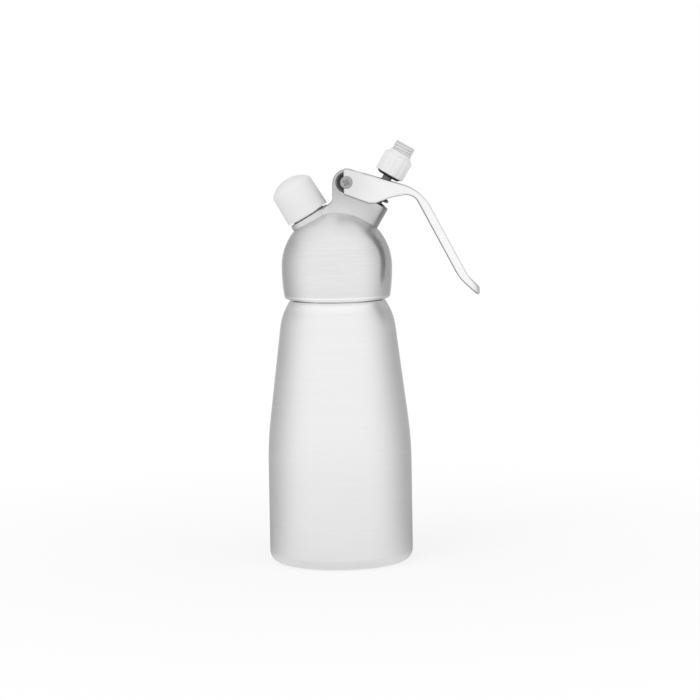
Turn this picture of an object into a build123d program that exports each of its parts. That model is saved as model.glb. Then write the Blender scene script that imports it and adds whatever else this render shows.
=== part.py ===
from build123d import *
import math
import os

# A small cream whipper. An aluminium bottle carries a screwed-on cast head. The head has a
# charger inlet under a protective cap, and a squeeze lever on a pivot post. The lever presses
# a hollow valve stem down against a spring, and cream leaves through the nozzle adapter.
# Millimetres, +Z up, origin at the centre of the base. The lever reaches out along +X.

# Bottle
body_radius = 36.5
base_fillet = 5.9
dish_inset = 6.6
dish_depth = 2.0
cylinder_height = 50.0
side_blend_radius = 190.0
side_lean = 7.1
cone_height = 46.0
shoulder_radius = 32.0
shoulder_rise = 14.0
bottle_wall = 1.6
base_wall = 2.4
ledge_wall = 2.0
ledge_width = 3.05
neck_wall = 2.2
neck_height = 12.5
mouth_edge = 0.5

# Head casting: skirt, dome and gasket seat
skirt_gap = 0.8
skirt_height = 16.2
skirt_wall = 4.2
skirt_inset = 1.3
skirt_edge = 1.6
dome_wall = 5.0
thread_room = 1.5
cavity_margin = 0.5
gasket_thickness = 2.4
gasket_overhang = 0.3

# Charger inlet, on an axis that leans to -X: gas passage, carrier, stub and protective cap
inlet_tilt = 31.0
inlet_offset = 3.0
gas_hole_radius = 0.7
gas_port_radius = 0.6
nose_wall = 1.6
nose_hole_room = 0.7
sleeve_wall = 1.0
sleeve_length = 4.2
sleeve_top_gap = 0.7
sleeve_end_gap = 0.4
carrier_step = 2.3
carrier_ledge = 2.6
carrier_length = 8.0
carrier_flange_thickness = 2.0
pin_step = 0.5
pin_depth = 5.0
pin_flat_depth = 0.5
pin_tip_length = 3.8
inlet_seal_thickness = 2.0
inlet_seal_room = 1.4
socket_step = 1.6
socket_depth = 11.0
stub_wall = 3.2
spigot_step = 1.6
relief_depth = 0.8
relief_length = 1.7
flange_rise = 1.4
flange_inset = 0.6
flange_edge = 0.5
cap_gap = 0.9
cap_bore_room = 0.9
cap_side_wall = 1.0
cap_taper = 0.4
cap_shoulder_lift = 1.3
cap_crown = 4.6
cap_shoulder_fillet = 3.0
cap_ledge_width = 2.3
cap_wall = 1.8

# Pivot post and saddle between the two bosses
pivot_x = 5.4
pivot_rise = 14.6
pivot_radius = 2.0
pivot_sleeve_wall = 0.75
pivot_head_lip = 1.1
pivot_head_height = 1.8
pivot_head_edge = 0.7
pivot_end_play = 0.3
recess_width = 0.9
recess_margin = 0.7
recess_depth = 1.0
bush_wall = 1.0
bush_lip = 1.65
bush_flange_thickness = 1.0
bush_spacing = 1.8
pocket_room = 0.4
pocket_depth = 2.0
pocket_edge = 0.3
post_cover = 1.2
post_offset = 0.4
post_side_wall = 2.0
post_foot_fillet = 4.0
post_edge = 0.8
saddle_step = 0.6

# Nozzle valve, on an axis that leans to +X through the dome's centre
nozzle_tilt = 30.5
stem_bore_radius = 1.5
stem_neck_wall = 0.9
stem_shoulder_step = 1.6
stem_tail_step = 1.5
stem_port_radius = 1.3
stem_port_height = 2.4
stem_floor = 2.0
guide_wall = 1.5
guide_length = 4.0
bush_ledge = 0.6
ring_end_gap = 0.1
valve_seat_recess = 0.6
chamber_length = 4.4
seal_overlap = 2.2
spot_face_room = 0.8
poppet_thickness = 2.5
poppet_edge = 0.6
poppet_seal_thickness = 1.5
poppet_seal_gap = 0.1
wire_diameter = 1.2
spring_room = 1.5
spring_side_gap = 0.5
spring_pitch = 2.7
spring_end_gap = 0.05
spring_seat_thickness = 1.3
spring_seat_margin = 0.1
counterbore_depth = 4.5
boss_wall = 1.0
washer_margin = 0.2
washer_thickness = 1.0

# Nozzle adapter
adapter_wall = 5.2
adapter_length = 10.0
adapter_roof = 1.0
adapter_shoulder = 1.6
adapter_shoulder_step = 0.3
adapter_thread_wall = 3.8
adapter_thread_length = 5.6
adapter_passage_step = 0.1
adapter_edge = 0.5
flute_count = 12
flute_radius = 2.0
flute_depth = 0.4
adapter_seal_inset = 1.2
adapter_seal_thickness = 1.2
adapter_seal_edge = 0.3
adapter_seal_land = 2.6

# Lever: side view
lever_slope = 17.1
lever_travel = 10.0
eye_radius = 6.6
eye_cut = 1.2
lever_reach = 37.7
shoulder_bend = 23.0
handle_lean = 27.7
handle_length = 49.7
handle_thickness = 4.5
tip_lean = 46.7
tip_length = 7.8
tip_thickness = 3.7
tip_bend = 20.0
crook_fillet = 7.0
heel_drop = 6.1
belly_start = 11.2
belly_width = 3.2
belly_drop = 10.8
belly_fillet = 4.0
throat_run = 8.3
throat_drop = 7.9
throat_fillet = 18.0
throat_rise = 9.6

# Lever: plan, channel, bridge and ribs
cheek_gap = 0.4
cheek_thickness = 2.0
fork_setback = 10.0
fork_taper = 14.0
fork_blend = 18.0
handle_width = 16.5
tip_corner = 7.0
lever_edge = 1.0
bridge_thickness = 2.2
bridge_gap = 0.8
channel_margin = 1.0
channel_fillet = 1.5
lug_inset = 0.1
rib_radius = 2.0
rib_gap = 0.1
slot_clearance = 0.4
adapter_gap = 0.65

# Shared clearances
fit_clearance = 0.05
cap_seat_gap = 0.3


def leaning(angle):
    """Unit vector in the XZ plane that leans by an angle from +Z towards +X."""
    return Vector(math.sin(math.radians(angle)), 0, math.cos(math.radians(angle)))


def section_plane(origin, angle):
    """Plane holding a leaning axis: local X runs across the axis, local Y along it."""
    across = Vector(math.cos(math.radians(angle)), 0, -math.sin(math.radians(angle)))
    return Plane(origin=origin, x_dir=across, z_dir=(0, -1, 0))


def station_plane(axis, section, station):
    """Plane square to an axis at a distance along it."""
    origin = axis.position + axis.direction * station
    return Plane(origin=origin, x_dir=section.x_dir, z_dir=axis.direction)


def dished(radius, depth, across):
    """Height of a shallow spherical dish at a distance from its axis."""
    sphere = (radius**2 + depth**2) / (2 * depth)
    return depth - sphere + math.sqrt(sphere**2 - across**2)


def crossing(start, heading, other, other_heading):
    """Point where two lines in the XZ plane meet, as (x, z)."""
    turn = heading[0] * other_heading[1] - heading[1] * other_heading[0]
    gap = (other[0] - start[0], other[1] - start[1])
    along = (gap[0] * other_heading[1] - gap[1] * other_heading[0]) / turn
    return (start[0] + along * heading[0], start[1] + along * heading[1])


def turned_ring(section, axis, inner, outer, low, high):
    """Plain ring about an axis, between two radii and two stations along the axis."""
    with BuildPart() as ring:
        with BuildSketch(section):
            with Locations(((inner + outer) / 2, (low + high) / 2)):
                Rectangle(outer - inner, high - low)
        revolve(axis=axis)
    return ring


def turned_outline(section, axis, points):
    """Solid turned about an axis from a closed outline of (radius, station) points."""
    with BuildPart() as turned:
        with BuildSketch(section):
            with BuildLine():
                Polyline(*points, close=True)
            make_face()
        revolve(axis=axis)
    return turned


def write(piece, name):
    """Label a finished piece and write it under its own name."""
    piece.part.label = name
    export_step(piece.part, f"parts/{name}.step")


os.makedirs("parts", exist_ok=True)

# Bottle outline, from the base up to the mouth
lean = math.radians(side_lean)
base_fillet_center = body_radius - base_fillet
inner_base_fillet = base_fillet - bottle_wall
inner_base_z = base_wall + inner_base_fillet
dish_radius = base_fillet_center - dish_inset
dish_middle = dish_radius / 2
dish_middle_z = dished(dish_radius, dish_depth, dish_middle)
blend_center = (body_radius - side_blend_radius, cylinder_height)
cone_start_z = cylinder_height + side_blend_radius * math.sin(lean)
cone_start_radius = body_radius - side_blend_radius * (1 - math.cos(lean))
cone_end_z = cone_start_z + cone_height
cone_end_radius = cone_start_radius - cone_height * math.tan(lean)
shoulder_center = (
    cone_end_radius - shoulder_radius * math.cos(lean),
    cone_end_z - shoulder_radius * math.sin(lean),
)
ledge_z = cone_end_z + shoulder_rise
ledge_angle = math.degrees(math.asin((ledge_z - shoulder_center[1]) / shoulder_radius))
ledge_radius = shoulder_center[0] + shoulder_radius * math.cos(math.radians(ledge_angle))
inner_shoulder_radius = shoulder_radius - bottle_wall
inner_ledge_z = ledge_z - ledge_wall
inner_ledge_angle = math.degrees(math.asin((inner_ledge_z - shoulder_center[1]) / inner_shoulder_radius))
inner_ledge_radius = shoulder_center[0] + inner_shoulder_radius * math.cos(math.radians(inner_ledge_angle))
inner_blend_radius = side_blend_radius - bottle_wall
inner_cone_start = (
    blend_center[0] + inner_blend_radius * math.cos(lean),
    blend_center[1] + inner_blend_radius * math.sin(lean),
)
inner_cone_end = (
    shoulder_center[0] + inner_shoulder_radius * math.cos(lean),
    shoulder_center[1] + inner_shoulder_radius * math.sin(lean),
)
neck_radius = ledge_radius - ledge_width
neck_inner_radius = neck_radius - neck_wall
mouth_z = ledge_z + neck_height

# Head: the skirt goes over the neck, and the dome stands on the skirt
thread_bore_radius = neck_radius + thread_room
skirt_radius = thread_bore_radius + skirt_wall
dome_radius = skirt_radius + skirt_inset
cavity_radius = neck_inner_radius + cavity_margin
cavity_dome_radius = dome_radius - dome_wall
head_base_z = ledge_z + skirt_gap
seat_z = mouth_z + gasket_thickness
dome_z = head_base_z + skirt_height
dome_top_z = dome_z + dome_radius
dome_center = Vector(0, 0, dome_z)

# Inlet axis, with stations measured from a point just above the dome's centre
inlet_origin = Vector(0, 0, dome_z + inlet_offset)
inlet_axis = Axis(inlet_origin, leaning(-inlet_tilt))
inlet_section = section_plane(inlet_origin, -inlet_tilt)
offset_along = inlet_offset * math.cos(math.radians(inlet_tilt))
offset_across = inlet_offset * math.sin(math.radians(inlet_tilt))


def inlet_station(radius, across):
    """Station where a line beside the inlet axis leaves a sphere about the dome's centre."""
    return math.sqrt(radius**2 - (offset_across + across) ** 2) - offset_along


pin_radius = gas_hole_radius + pin_step
nose_radius = gas_hole_radius + nose_wall
sleeve_inner_radius = nose_radius + fit_clearance
sleeve_outer_radius = sleeve_inner_radius + sleeve_wall
carrier_radius = nose_radius + carrier_step
socket_radius = carrier_radius + socket_step
stub_radius = socket_radius + stub_wall
relief_radius = stub_radius - relief_depth
spigot_radius = relief_radius - spigot_step
cap_bore_radius = stub_radius + cap_bore_room
cap_radius = cap_bore_radius + cap_side_wall
flange_radius = cap_radius - flange_inset
sleeve_top = inlet_station(cavity_dome_radius, sleeve_outer_radius) - sleeve_top_gap
sleeve_low = sleeve_top - sleeve_length
nose_end = sleeve_low - sleeve_end_gap
port_station = sleeve_low + sleeve_length / 2
ceiling = inlet_station(cavity_dome_radius, 0)
carrier_floor = ceiling + carrier_ledge
socket_floor = carrier_floor + carrier_length
carrier_top = socket_floor + carrier_flange_thickness
pin_floor = carrier_top - pin_depth
stub_top = socket_floor + socket_depth
inlet_face = inlet_station(dome_radius, 0) + flange_rise

# Pivot axis, along Y
pivot_z = dome_top_z + pivot_rise
pivot = Vector(pivot_x, 0, pivot_z)
pivot_core_radius = pivot_radius - pivot_sleeve_wall - fit_clearance
pivot_head_radius = pivot_radius + pivot_head_lip
bush_bore = pivot_radius + fit_clearance
bush_radius = bush_bore + bush_wall
bush_flange_radius = bush_radius + bush_lip
pocket_radius = bush_flange_radius + pocket_room
post_half_width = pocket_radius + post_offset + post_side_wall
post_crown = pocket_radius + post_cover

# Nozzle axis, with stations measured from the dome's centre
nozzle_axis = Axis(dome_center, leaning(nozzle_tilt))
nozzle_section = section_plane(dome_center, nozzle_tilt)
wire_radius = wire_diameter / 2
stem_neck_radius = stem_bore_radius + stem_neck_wall
stem_radius = stem_neck_radius + stem_shoulder_step
stem_tail_radius = stem_radius - stem_tail_step
stem_fit_radius = stem_radius + fit_clearance
neck_fit_radius = stem_neck_radius + fit_clearance
bush_bore_radius = stem_fit_radius + guide_wall + fit_clearance
chamber_radius = bush_bore_radius - bush_ledge
poppet_radius = chamber_radius + seal_overlap
spot_face_radius = poppet_radius + spot_face_room
spring_mean_radius = stem_radius + spring_room + wire_radius
spring_outer_radius = spring_mean_radius + wire_radius
counterbore_radius = spring_outer_radius + spring_side_gap
boss_radius = counterbore_radius + boss_wall
washer_radius = spring_outer_radius + washer_margin
ring_section_radius = (bush_bore_radius - stem_radius) / 2 - fit_clearance
valve_seat = cavity_dome_radius + valve_seat_recess
chamber_top = valve_seat + chamber_length
guide_top = chamber_top + guide_length
counterbore_floor = guide_top + 2 * ring_section_radius + ring_end_gap
spring_floor = counterbore_floor + spring_seat_thickness
boss_face = counterbore_floor + counterbore_depth
poppet_seal_top = valve_seat - poppet_seal_gap
poppet_top = poppet_seal_top - poppet_seal_thickness
poppet_floor = poppet_top - poppet_thickness

# Lever bridge over the stem, then the adapter above it
lever_normal = leaning(lever_slope)
lever_along = Vector(math.cos(math.radians(lever_slope)), 0, -math.sin(math.radians(lever_slope)))
valve_tilt = math.radians(nozzle_tilt - lever_slope)
adapter_radius = stem_neck_radius + adapter_wall
adapter_seal_radius = adapter_radius - adapter_seal_inset
adapter_seal_foot = stem_neck_radius + adapter_seal_land
adapter_passage_radius = stem_bore_radius + adapter_passage_step
adapter_thread_radius = adapter_passage_radius + adapter_thread_wall
lever_top = (eye_radius + (pivot - dome_center).dot(lever_normal)) / math.cos(valve_tilt)
bridge_under = lever_top - bridge_thickness / math.cos(valve_tilt)
washer_top = bridge_under - rib_radius - rib_gap
stem_shoulder = washer_top - washer_thickness
adapter_seal_floor = lever_top + adapter_seal_foot * math.tan(valve_tilt) + adapter_gap
adapter_floor = adapter_seal_floor + adapter_seal_thickness
adapter_body_top = adapter_floor + adapter_length
stem_end = adapter_body_top - adapter_roof
adapter_thread_floor = adapter_body_top + adapter_shoulder
adapter_top = adapter_thread_floor + adapter_thread_length

# Widths across the pivot, from the post outwards
saddle_half_width = boss_radius
pocket_floor = saddle_half_width - pocket_depth
cheek_inner = boss_radius + cheek_gap
cheek_outer = cheek_inner + cheek_thickness
head_seat = cheek_outer + pivot_end_play
head_top = head_seat + pivot_head_height

# Bottle: a drawn shell with a dished base, leaning sides, a round shoulder and a neck
with BuildPart() as bottle:
    with BuildSketch(Plane.XZ):
        with BuildLine():
            ThreePointArc((0, dish_depth), (dish_middle, dish_middle_z), (dish_radius, 0))
            Line((dish_radius, 0), (base_fillet_center, 0))
            CenterArc((base_fillet_center, base_fillet), base_fillet, -90, 90)
            Line((body_radius, base_fillet), (body_radius, cylinder_height))
            CenterArc(blend_center, side_blend_radius, 0, side_lean)
            Line((cone_start_radius, cone_start_z), (cone_end_radius, cone_end_z))
            CenterArc(shoulder_center, shoulder_radius, side_lean, ledge_angle - side_lean)
            Polyline(
                (ledge_radius, ledge_z),
                (neck_radius, ledge_z),
                (neck_radius, mouth_z),
                (neck_inner_radius, mouth_z),
                (neck_inner_radius, inner_ledge_z),
                (inner_ledge_radius, inner_ledge_z),
            )
            CenterArc(shoulder_center, inner_shoulder_radius, side_lean, inner_ledge_angle - side_lean)
            Line(inner_cone_end, inner_cone_start)
            CenterArc(blend_center, inner_blend_radius, 0, side_lean)
            Line((body_radius - bottle_wall, cylinder_height), (body_radius - bottle_wall, inner_base_z))
            CenterArc((base_fillet_center, inner_base_z), inner_base_fillet, -90, 90)
            Line((base_fillet_center, base_wall), (dish_radius, base_wall))
            ThreePointArc(
                (dish_radius, base_wall),
                (dish_middle, dish_middle_z + base_wall),
                (0, dish_depth + base_wall),
            )
            Line((0, dish_depth + base_wall), (0, dish_depth))
        make_face()
    revolve(axis=Axis.Z)
    fillet(bottle.edges().filter_by(GeomType.CIRCLE).group_by(Axis.Z)[-1], mouth_edge)
write(bottle, "bottle")

# Head casting: dome and skirt, inlet boss, saddle with pivot post, nozzle boss
inlet_face_center = inlet_origin + inlet_axis.direction * (inlet_face - saddle_step)
boss_face_center = dome_center + nozzle_axis.direction * boss_face
boss_face_end = boss_face_center + nozzle_section.x_dir * boss_radius
post_left = pivot_x + post_offset - post_half_width
post_right = pivot_x + post_offset + post_half_width
foot_left = crossing(
    (inlet_face_center.X, inlet_face_center.Z),
    (inlet_section.x_dir.X, inlet_section.x_dir.Z),
    (post_left, pivot_z),
    (0, 1),
)
foot_right = crossing(
    (boss_face_center.X, boss_face_center.Z),
    (nozzle_section.x_dir.X, nozzle_section.x_dir.Z),
    (post_right, pivot_z),
    (0, 1),
)
saddle_root_z = dome_z + cavity_radius
boss_root_end = boss_face_end - nozzle_axis.direction * (boss_face - cavity_dome_radius)
crown_center_z = pivot_z + post_crown - post_half_width
saddle_reach = 2 * (boss_face + post_crown)

with BuildPart() as saddle:
    with BuildSketch(Plane.XZ) as post_side:
        with BuildLine():
            Polyline((inlet_face_center.X, inlet_face_center.Z), foot_left, (post_left, crown_center_z))
            CenterArc((pivot_x + post_offset, crown_center_z), post_half_width, 0, 180)
            Polyline(
                (post_right, crown_center_z),
                foot_right,
                (boss_face_end.X, boss_face_end.Z),
                (boss_root_end.X, boss_root_end.Z),
                (0, saddle_root_z),
                (inlet_face_center.X, inlet_face_center.Z),
            )
        make_face()
        for foot in (foot_left, foot_right):
            fillet(post_side.vertices().sort_by_distance(foot)[0], post_foot_fillet)
    extrude(amount=2 * saddle_half_width, both=True)
    with BuildSketch(station_plane(nozzle_axis, nozzle_section, 0)):
        Circle(saddle_half_width)
        with Locations((-saddle_reach / 2, 0)):
            Rectangle(saddle_reach, 2 * saddle_half_width)
    extrude(amount=saddle_reach, mode=Mode.INTERSECT)
    fillet(saddle.edges().filter_by(GeomType.CIRCLE).group_by(Axis.Z)[-1], post_edge)

with BuildPart() as head:
    with BuildSketch(Plane.XZ):
        with BuildLine():
            Line((0, head_base_z), (skirt_radius, head_base_z))
            TangentArc((dome_radius, dome_z), (skirt_radius, head_base_z), tangent=(0, -1))
            CenterArc((0, dome_z), dome_radius, 0, 90)
            Line((0, dome_top_z), (0, head_base_z))
        make_face()
    revolve(axis=Axis.Z)
    fillet(head.edges().filter_by(GeomType.CIRCLE).group_by(Axis.Z)[0], skirt_edge)
    with BuildSketch(station_plane(inlet_axis, inlet_section, inlet_face)):
        Circle(flange_radius)
    extrude(amount=ceiling - inlet_face)
    fillet(head.faces().sort_by(inlet_axis)[-1].edges(), flange_edge)
    add(saddle.part)
    with BuildSketch(Plane.XZ):
        with BuildLine():
            Polyline(
                (0, head_base_z),
                (thread_bore_radius, head_base_z),
                (thread_bore_radius, seat_z),
                (cavity_radius, seat_z),
                (cavity_radius, dome_z + math.sqrt(cavity_dome_radius**2 - cavity_radius**2)),
            )
            cavity_angle = math.degrees(math.acos(cavity_radius / cavity_dome_radius))
            CenterArc((0, dome_z), cavity_dome_radius, cavity_angle, 90 - cavity_angle)
            Line((0, dome_z + cavity_dome_radius), (0, head_base_z))
        make_face()
    revolve(axis=Axis.Z, mode=Mode.SUBTRACT)
    with BuildSketch(inlet_section):
        with BuildLine():
            Polyline(
                (0, nose_end),
                (nose_radius + nose_hole_room, nose_end),
                (nose_radius + nose_hole_room, carrier_floor),
                (spigot_radius + fit_clearance, carrier_floor),
                (spigot_radius + fit_clearance, inlet_face),
                (0, inlet_face),
                close=True,
            )
        make_face()
    revolve(axis=inlet_axis, mode=Mode.SUBTRACT)
    with BuildSketch(nozzle_section):
        with BuildLine():
            Polyline(
                (0, poppet_floor),
                (spot_face_radius, poppet_floor),
                (spot_face_radius, valve_seat),
                (chamber_radius, valve_seat),
                (chamber_radius, chamber_top),
                (bush_bore_radius, chamber_top),
                (bush_bore_radius, counterbore_floor),
                (counterbore_radius, counterbore_floor),
                (counterbore_radius, stem_shoulder),
                (0, stem_shoulder),
                close=True,
            )
        make_face()
    revolve(axis=nozzle_axis, mode=Mode.SUBTRACT)
    with BuildSketch(Plane.XZ):
        with Locations((pivot_x, pivot_z)):
            Circle(bush_radius + fit_clearance)
    extrude(amount=saddle_half_width, both=True, mode=Mode.SUBTRACT)
    for side in (1, -1):
        with BuildSketch(Plane.XZ.offset(side * saddle_half_width)):
            with Locations((pivot_x, pivot_z)):
                Circle(pocket_radius)
        extrude(amount=-side * pocket_depth, mode=Mode.SUBTRACT)
        chamfer(head.edges(Select.LAST).sort_by(Axis.Y, reverse=side < 0)[0], pocket_edge)
write(head, "head")

# Head gasket: a flat ring between the bottle's mouth and the seat in the head
head_gasket = turned_ring(
    Plane.XZ,
    Axis.Z,
    neck_inner_radius - gasket_overhang,
    thread_bore_radius - fit_clearance,
    mouth_z,
    seat_z,
)
write(head_gasket, "head_gasket")

# Inlet stub: a turned tube pressed into the head, with the socket for a charger's neck
inlet_stub = turned_outline(
    inlet_section,
    inlet_axis,
    (
        (carrier_radius + fit_clearance, carrier_floor),
        (spigot_radius, carrier_floor),
        (spigot_radius, inlet_face),
        (relief_radius, inlet_face),
        (relief_radius, inlet_face + relief_length),
        (stub_radius, inlet_face + relief_length),
        (stub_radius, stub_top),
        (socket_radius, stub_top),
        (socket_radius, socket_floor),
        (carrier_radius + fit_clearance, socket_floor),
    ),
)
write(inlet_stub, "inlet_stub")

# Protective cap over the inlet stub: a tapered shell with a crowned end
cap_base = inlet_face + cap_gap
cap_shoulder_radius = cap_radius - cap_taper
cap_ledge = stub_top + cap_seat_gap
cap_shoulder = cap_ledge + cap_shoulder_lift
cap_top = cap_shoulder + cap_crown
cap_hollow_radius = cap_bore_radius - cap_ledge_width
crown_radius = (cap_shoulder_radius**2 + cap_crown**2) / (2 * cap_crown)
inner_crown_radius = crown_radius - cap_wall
crown_center = cap_top - crown_radius
inner_crown_edge = crown_center + math.sqrt(inner_crown_radius**2 - cap_hollow_radius**2)
inner_crown_angle = math.degrees(math.acos(cap_hollow_radius / inner_crown_radius))
crown_angle = math.degrees(math.acos(cap_shoulder_radius / crown_radius))

with BuildPart() as inlet_cap:
    with BuildSketch(inlet_section) as cap_side:
        with BuildLine():
            Line((cap_bore_radius, cap_base), (cap_radius, cap_base))
            Line((cap_radius, cap_base), (cap_shoulder_radius, cap_shoulder))
            CenterArc((0, crown_center), crown_radius, crown_angle, 90 - crown_angle)
            Line((0, cap_top), (0, cap_top - cap_wall))
            CenterArc((0, crown_center), inner_crown_radius, inner_crown_angle, 90 - inner_crown_angle)
            Polyline(
                (cap_hollow_radius, inner_crown_edge),
                (cap_hollow_radius, cap_ledge),
                (cap_bore_radius, cap_ledge),
                (cap_bore_radius, cap_base),
            )
        make_face()
        shoulder_corner = cap_side.vertices().sort_by_distance((cap_shoulder_radius, cap_shoulder))[0]
        fillet(shoulder_corner, cap_shoulder_fillet)
    revolve(axis=inlet_axis)
write(inlet_cap, "inlet_cap")

# Pin carrier: a flanged insert with a nose that hangs into the head, drilled for the gas
with BuildPart() as pin_carrier:
    with BuildSketch(inlet_section):
        with BuildLine():
            Polyline(
                (0, nose_end),
                (nose_radius, nose_end),
                (nose_radius, carrier_floor),
                (carrier_radius, carrier_floor),
                (carrier_radius, socket_floor),
                (socket_radius - fit_clearance, socket_floor),
                (socket_radius - fit_clearance, carrier_top),
                (pin_radius + fit_clearance, carrier_top),
                (pin_radius + fit_clearance, pin_floor),
                (gas_hole_radius, pin_floor),
                (gas_hole_radius, port_station),
                (0, port_station),
                close=True,
            )
        make_face()
    revolve(axis=inlet_axis)
    with BuildSketch(Plane.XZ):
        port_center = inlet_origin + inlet_axis.direction * port_station
        with Locations((port_center.X, port_center.Z)):
            Circle(gas_port_radius)
    extrude(amount=nose_radius, both=True, mode=Mode.SUBTRACT)
write(pin_carrier, "pin_carrier")

# Piercing pin: pressed into the carrier, with a flat that lets the gas pass
with BuildPart() as piercing_pin:
    with BuildSketch(inlet_section):
        with BuildLine():
            Polyline(
                (0, pin_floor),
                (pin_radius, pin_floor),
                (pin_radius, carrier_top),
                (0, carrier_top + pin_tip_length),
                close=True,
            )
        make_face()
    revolve(axis=inlet_axis)
    with BuildSketch(station_plane(inlet_axis, inlet_section, pin_floor)):
        with Locations((2 * pin_radius - pin_flat_depth, 0)):
            Rectangle(2 * pin_radius, 2 * pin_radius)
    extrude(amount=pin_depth + pin_tip_length, mode=Mode.SUBTRACT)
write(piercing_pin, "piercing_pin")

# Inlet seal: the ring that a charger's neck is pressed against
inlet_seal = turned_ring(
    inlet_section,
    inlet_axis,
    pin_radius + inlet_seal_room,
    socket_radius - fit_clearance,
    carrier_top,
    carrier_top + inlet_seal_thickness,
)
write(inlet_seal, "inlet_seal")

# Check valve sleeve: a soft tube over the gas ports in the carrier's nose
check_valve_sleeve = turned_ring(
    inlet_section,
    inlet_axis,
    sleeve_inner_radius,
    sleeve_outer_radius,
    sleeve_low,
    sleeve_top,
)
write(check_valve_sleeve, "check_valve_sleeve")

# Pivot: two flanged bushes in the post, a sleeve nut through them, and a cross-recessed screw
with BuildPart() as pivot_bushes:
    for side in (1, -1):
        with BuildSketch(Plane.XZ.offset(side * pocket_floor)):
            with Locations((pivot_x, pivot_z)):
                Circle(bush_flange_radius)
        extrude(amount=side * bush_flange_thickness)
        with BuildSketch(Plane.XZ.offset(side * pocket_floor)):
            with Locations((pivot_x, pivot_z)):
                Circle(bush_radius)
        extrude(amount=side * (bush_spacing / 2 - pocket_floor))
    with BuildSketch(Plane.XZ):
        with Locations((pivot_x, pivot_z)):
            Circle(bush_bore)
    extrude(amount=saddle_half_width, both=True, mode=Mode.SUBTRACT)
write(pivot_bushes, "pivot_bushes")

pivot_axis = Axis(pivot, (0, -1, 0))
pivot_section = Plane(origin=pivot, x_dir=(1, 0, 0), z_dir=(0, 0, 1))
sleeve_outline = (
    (pivot_core_radius + fit_clearance, -head_seat),
    (pivot_radius, -head_seat),
    (pivot_radius, head_seat),
    (pivot_head_radius, head_seat),
    (pivot_head_radius, head_top - pivot_head_edge),
    (pivot_head_radius - pivot_head_edge, head_top),
    (0, head_top),
    (0, head_seat),
    (pivot_core_radius + fit_clearance, head_seat),
)
pivot_sleeve = turned_outline(pivot_section, pivot_axis, sleeve_outline)
write(pivot_sleeve, "pivot_sleeve")

screw_end = head_seat - pivot_end_play
recess_span = 2 * (pivot_head_radius - pivot_head_edge - recess_margin)
with BuildPart() as pivot_screw:
    with BuildSketch(pivot_section):
        with BuildLine():
            Polyline(
                (0, screw_end),
                (pivot_core_radius, screw_end),
                (pivot_core_radius, -head_seat),
                (pivot_head_radius, -head_seat),
                (pivot_head_radius, pivot_head_edge - head_top),
                (pivot_head_radius - pivot_head_edge, -head_top),
                (0, -head_top),
                close=True,
            )
        make_face()
    revolve(axis=pivot_axis)
    with BuildSketch(Plane.XZ.offset(head_top)):
        with Locations((pivot_x, pivot_z)):
            Rectangle(recess_span, recess_width)
            Rectangle(recess_width, recess_span)
    extrude(amount=-recess_depth, mode=Mode.SUBTRACT)
write(pivot_screw, "pivot_screw")

# Lever side view, from the eye round the top and handle to the tip, and back underneath
down_handle = (math.sin(math.radians(handle_lean)), -math.cos(math.radians(handle_lean)))
in_handle = (down_handle[1], -down_handle[0])
down_tip = (math.sin(math.radians(tip_lean)), -math.cos(math.radians(tip_lean)))
in_tip = (down_tip[1], -down_tip[0])
up_throat = (math.cos(math.radians(throat_rise)), math.sin(math.radians(throat_rise)))


def along(start, heading, distance):
    """Point at a distance from a start along a heading, both in the XZ plane."""
    return (start[0] + distance * heading[0], start[1] + distance * heading[1])


eye_top = (pivot_x - eye_cut, pivot_z + math.sqrt(eye_radius**2 - eye_cut**2))
eye_crown = (pivot_x, pivot_z + eye_radius)
top_start = (pivot_x + eye_radius * lever_normal.X, pivot_z + eye_radius * lever_normal.Z)
top_corner = along(top_start, (lever_along.X, lever_along.Z), lever_reach)
outer_bend = along(top_corner, down_handle, handle_length)
tip_end_x = along(outer_bend, down_tip, tip_length)[0]
tip_outside = along(outer_bend, down_tip, tip_length + 2 * tip_thickness)
tip_inside = along(tip_outside, in_tip, tip_thickness)
handle_inside = along(top_corner, in_handle, handle_thickness)
inner_bend = crossing(tip_inside, down_tip, handle_inside, down_handle)
throat = (pivot_x + belly_start + belly_width + throat_run, pivot_z - throat_drop)
crook = crossing(throat, up_throat, handle_inside, down_handle)
belly_front = (pivot_x + belly_start + belly_width, pivot_z - belly_drop)
belly_back = (pivot_x + belly_start, pivot_z - belly_drop)
heel = (pivot_x - eye_cut, pivot_z - heel_drop)
fork_end = top_corner[0] - fork_setback
fork_half_width = cheek_outer
handle_half_width = handle_width / 2
lever_back = pivot_x - eye_radius
rib_center = dome_center + nozzle_axis.direction * bridge_under
bridge_back = post_right + bridge_gap
bridge_drop = bridge_thickness / lever_normal.Z
channel_front = fork_end - channel_margin
channel_floor_z = pivot_z - 2 * belly_drop
channel_roof_z = pivot_z + 2 * eye_radius


def bridge_height(x):
    """Height of the bridge's underside at a distance out along X."""
    return top_start[1] + (x - top_start[0]) * lever_along.Z / lever_along.X - bridge_drop


stem_at_top = dome_center + nozzle_axis.direction * lever_top
travel = math.radians(lever_travel)
arm = stem_at_top - pivot
stem_slip = (
    arm.dot(nozzle_axis.direction) * math.sin(travel)
    - arm.dot(nozzle_section.x_dir) * (1 - math.cos(travel))
)
slot_front = stem_neck_radius / math.cos(valve_tilt) + slot_clearance
slot_back = slot_front + stem_slip
slot_plane = Plane(origin=stem_at_top, x_dir=lever_along, z_dir=lever_normal)

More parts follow.
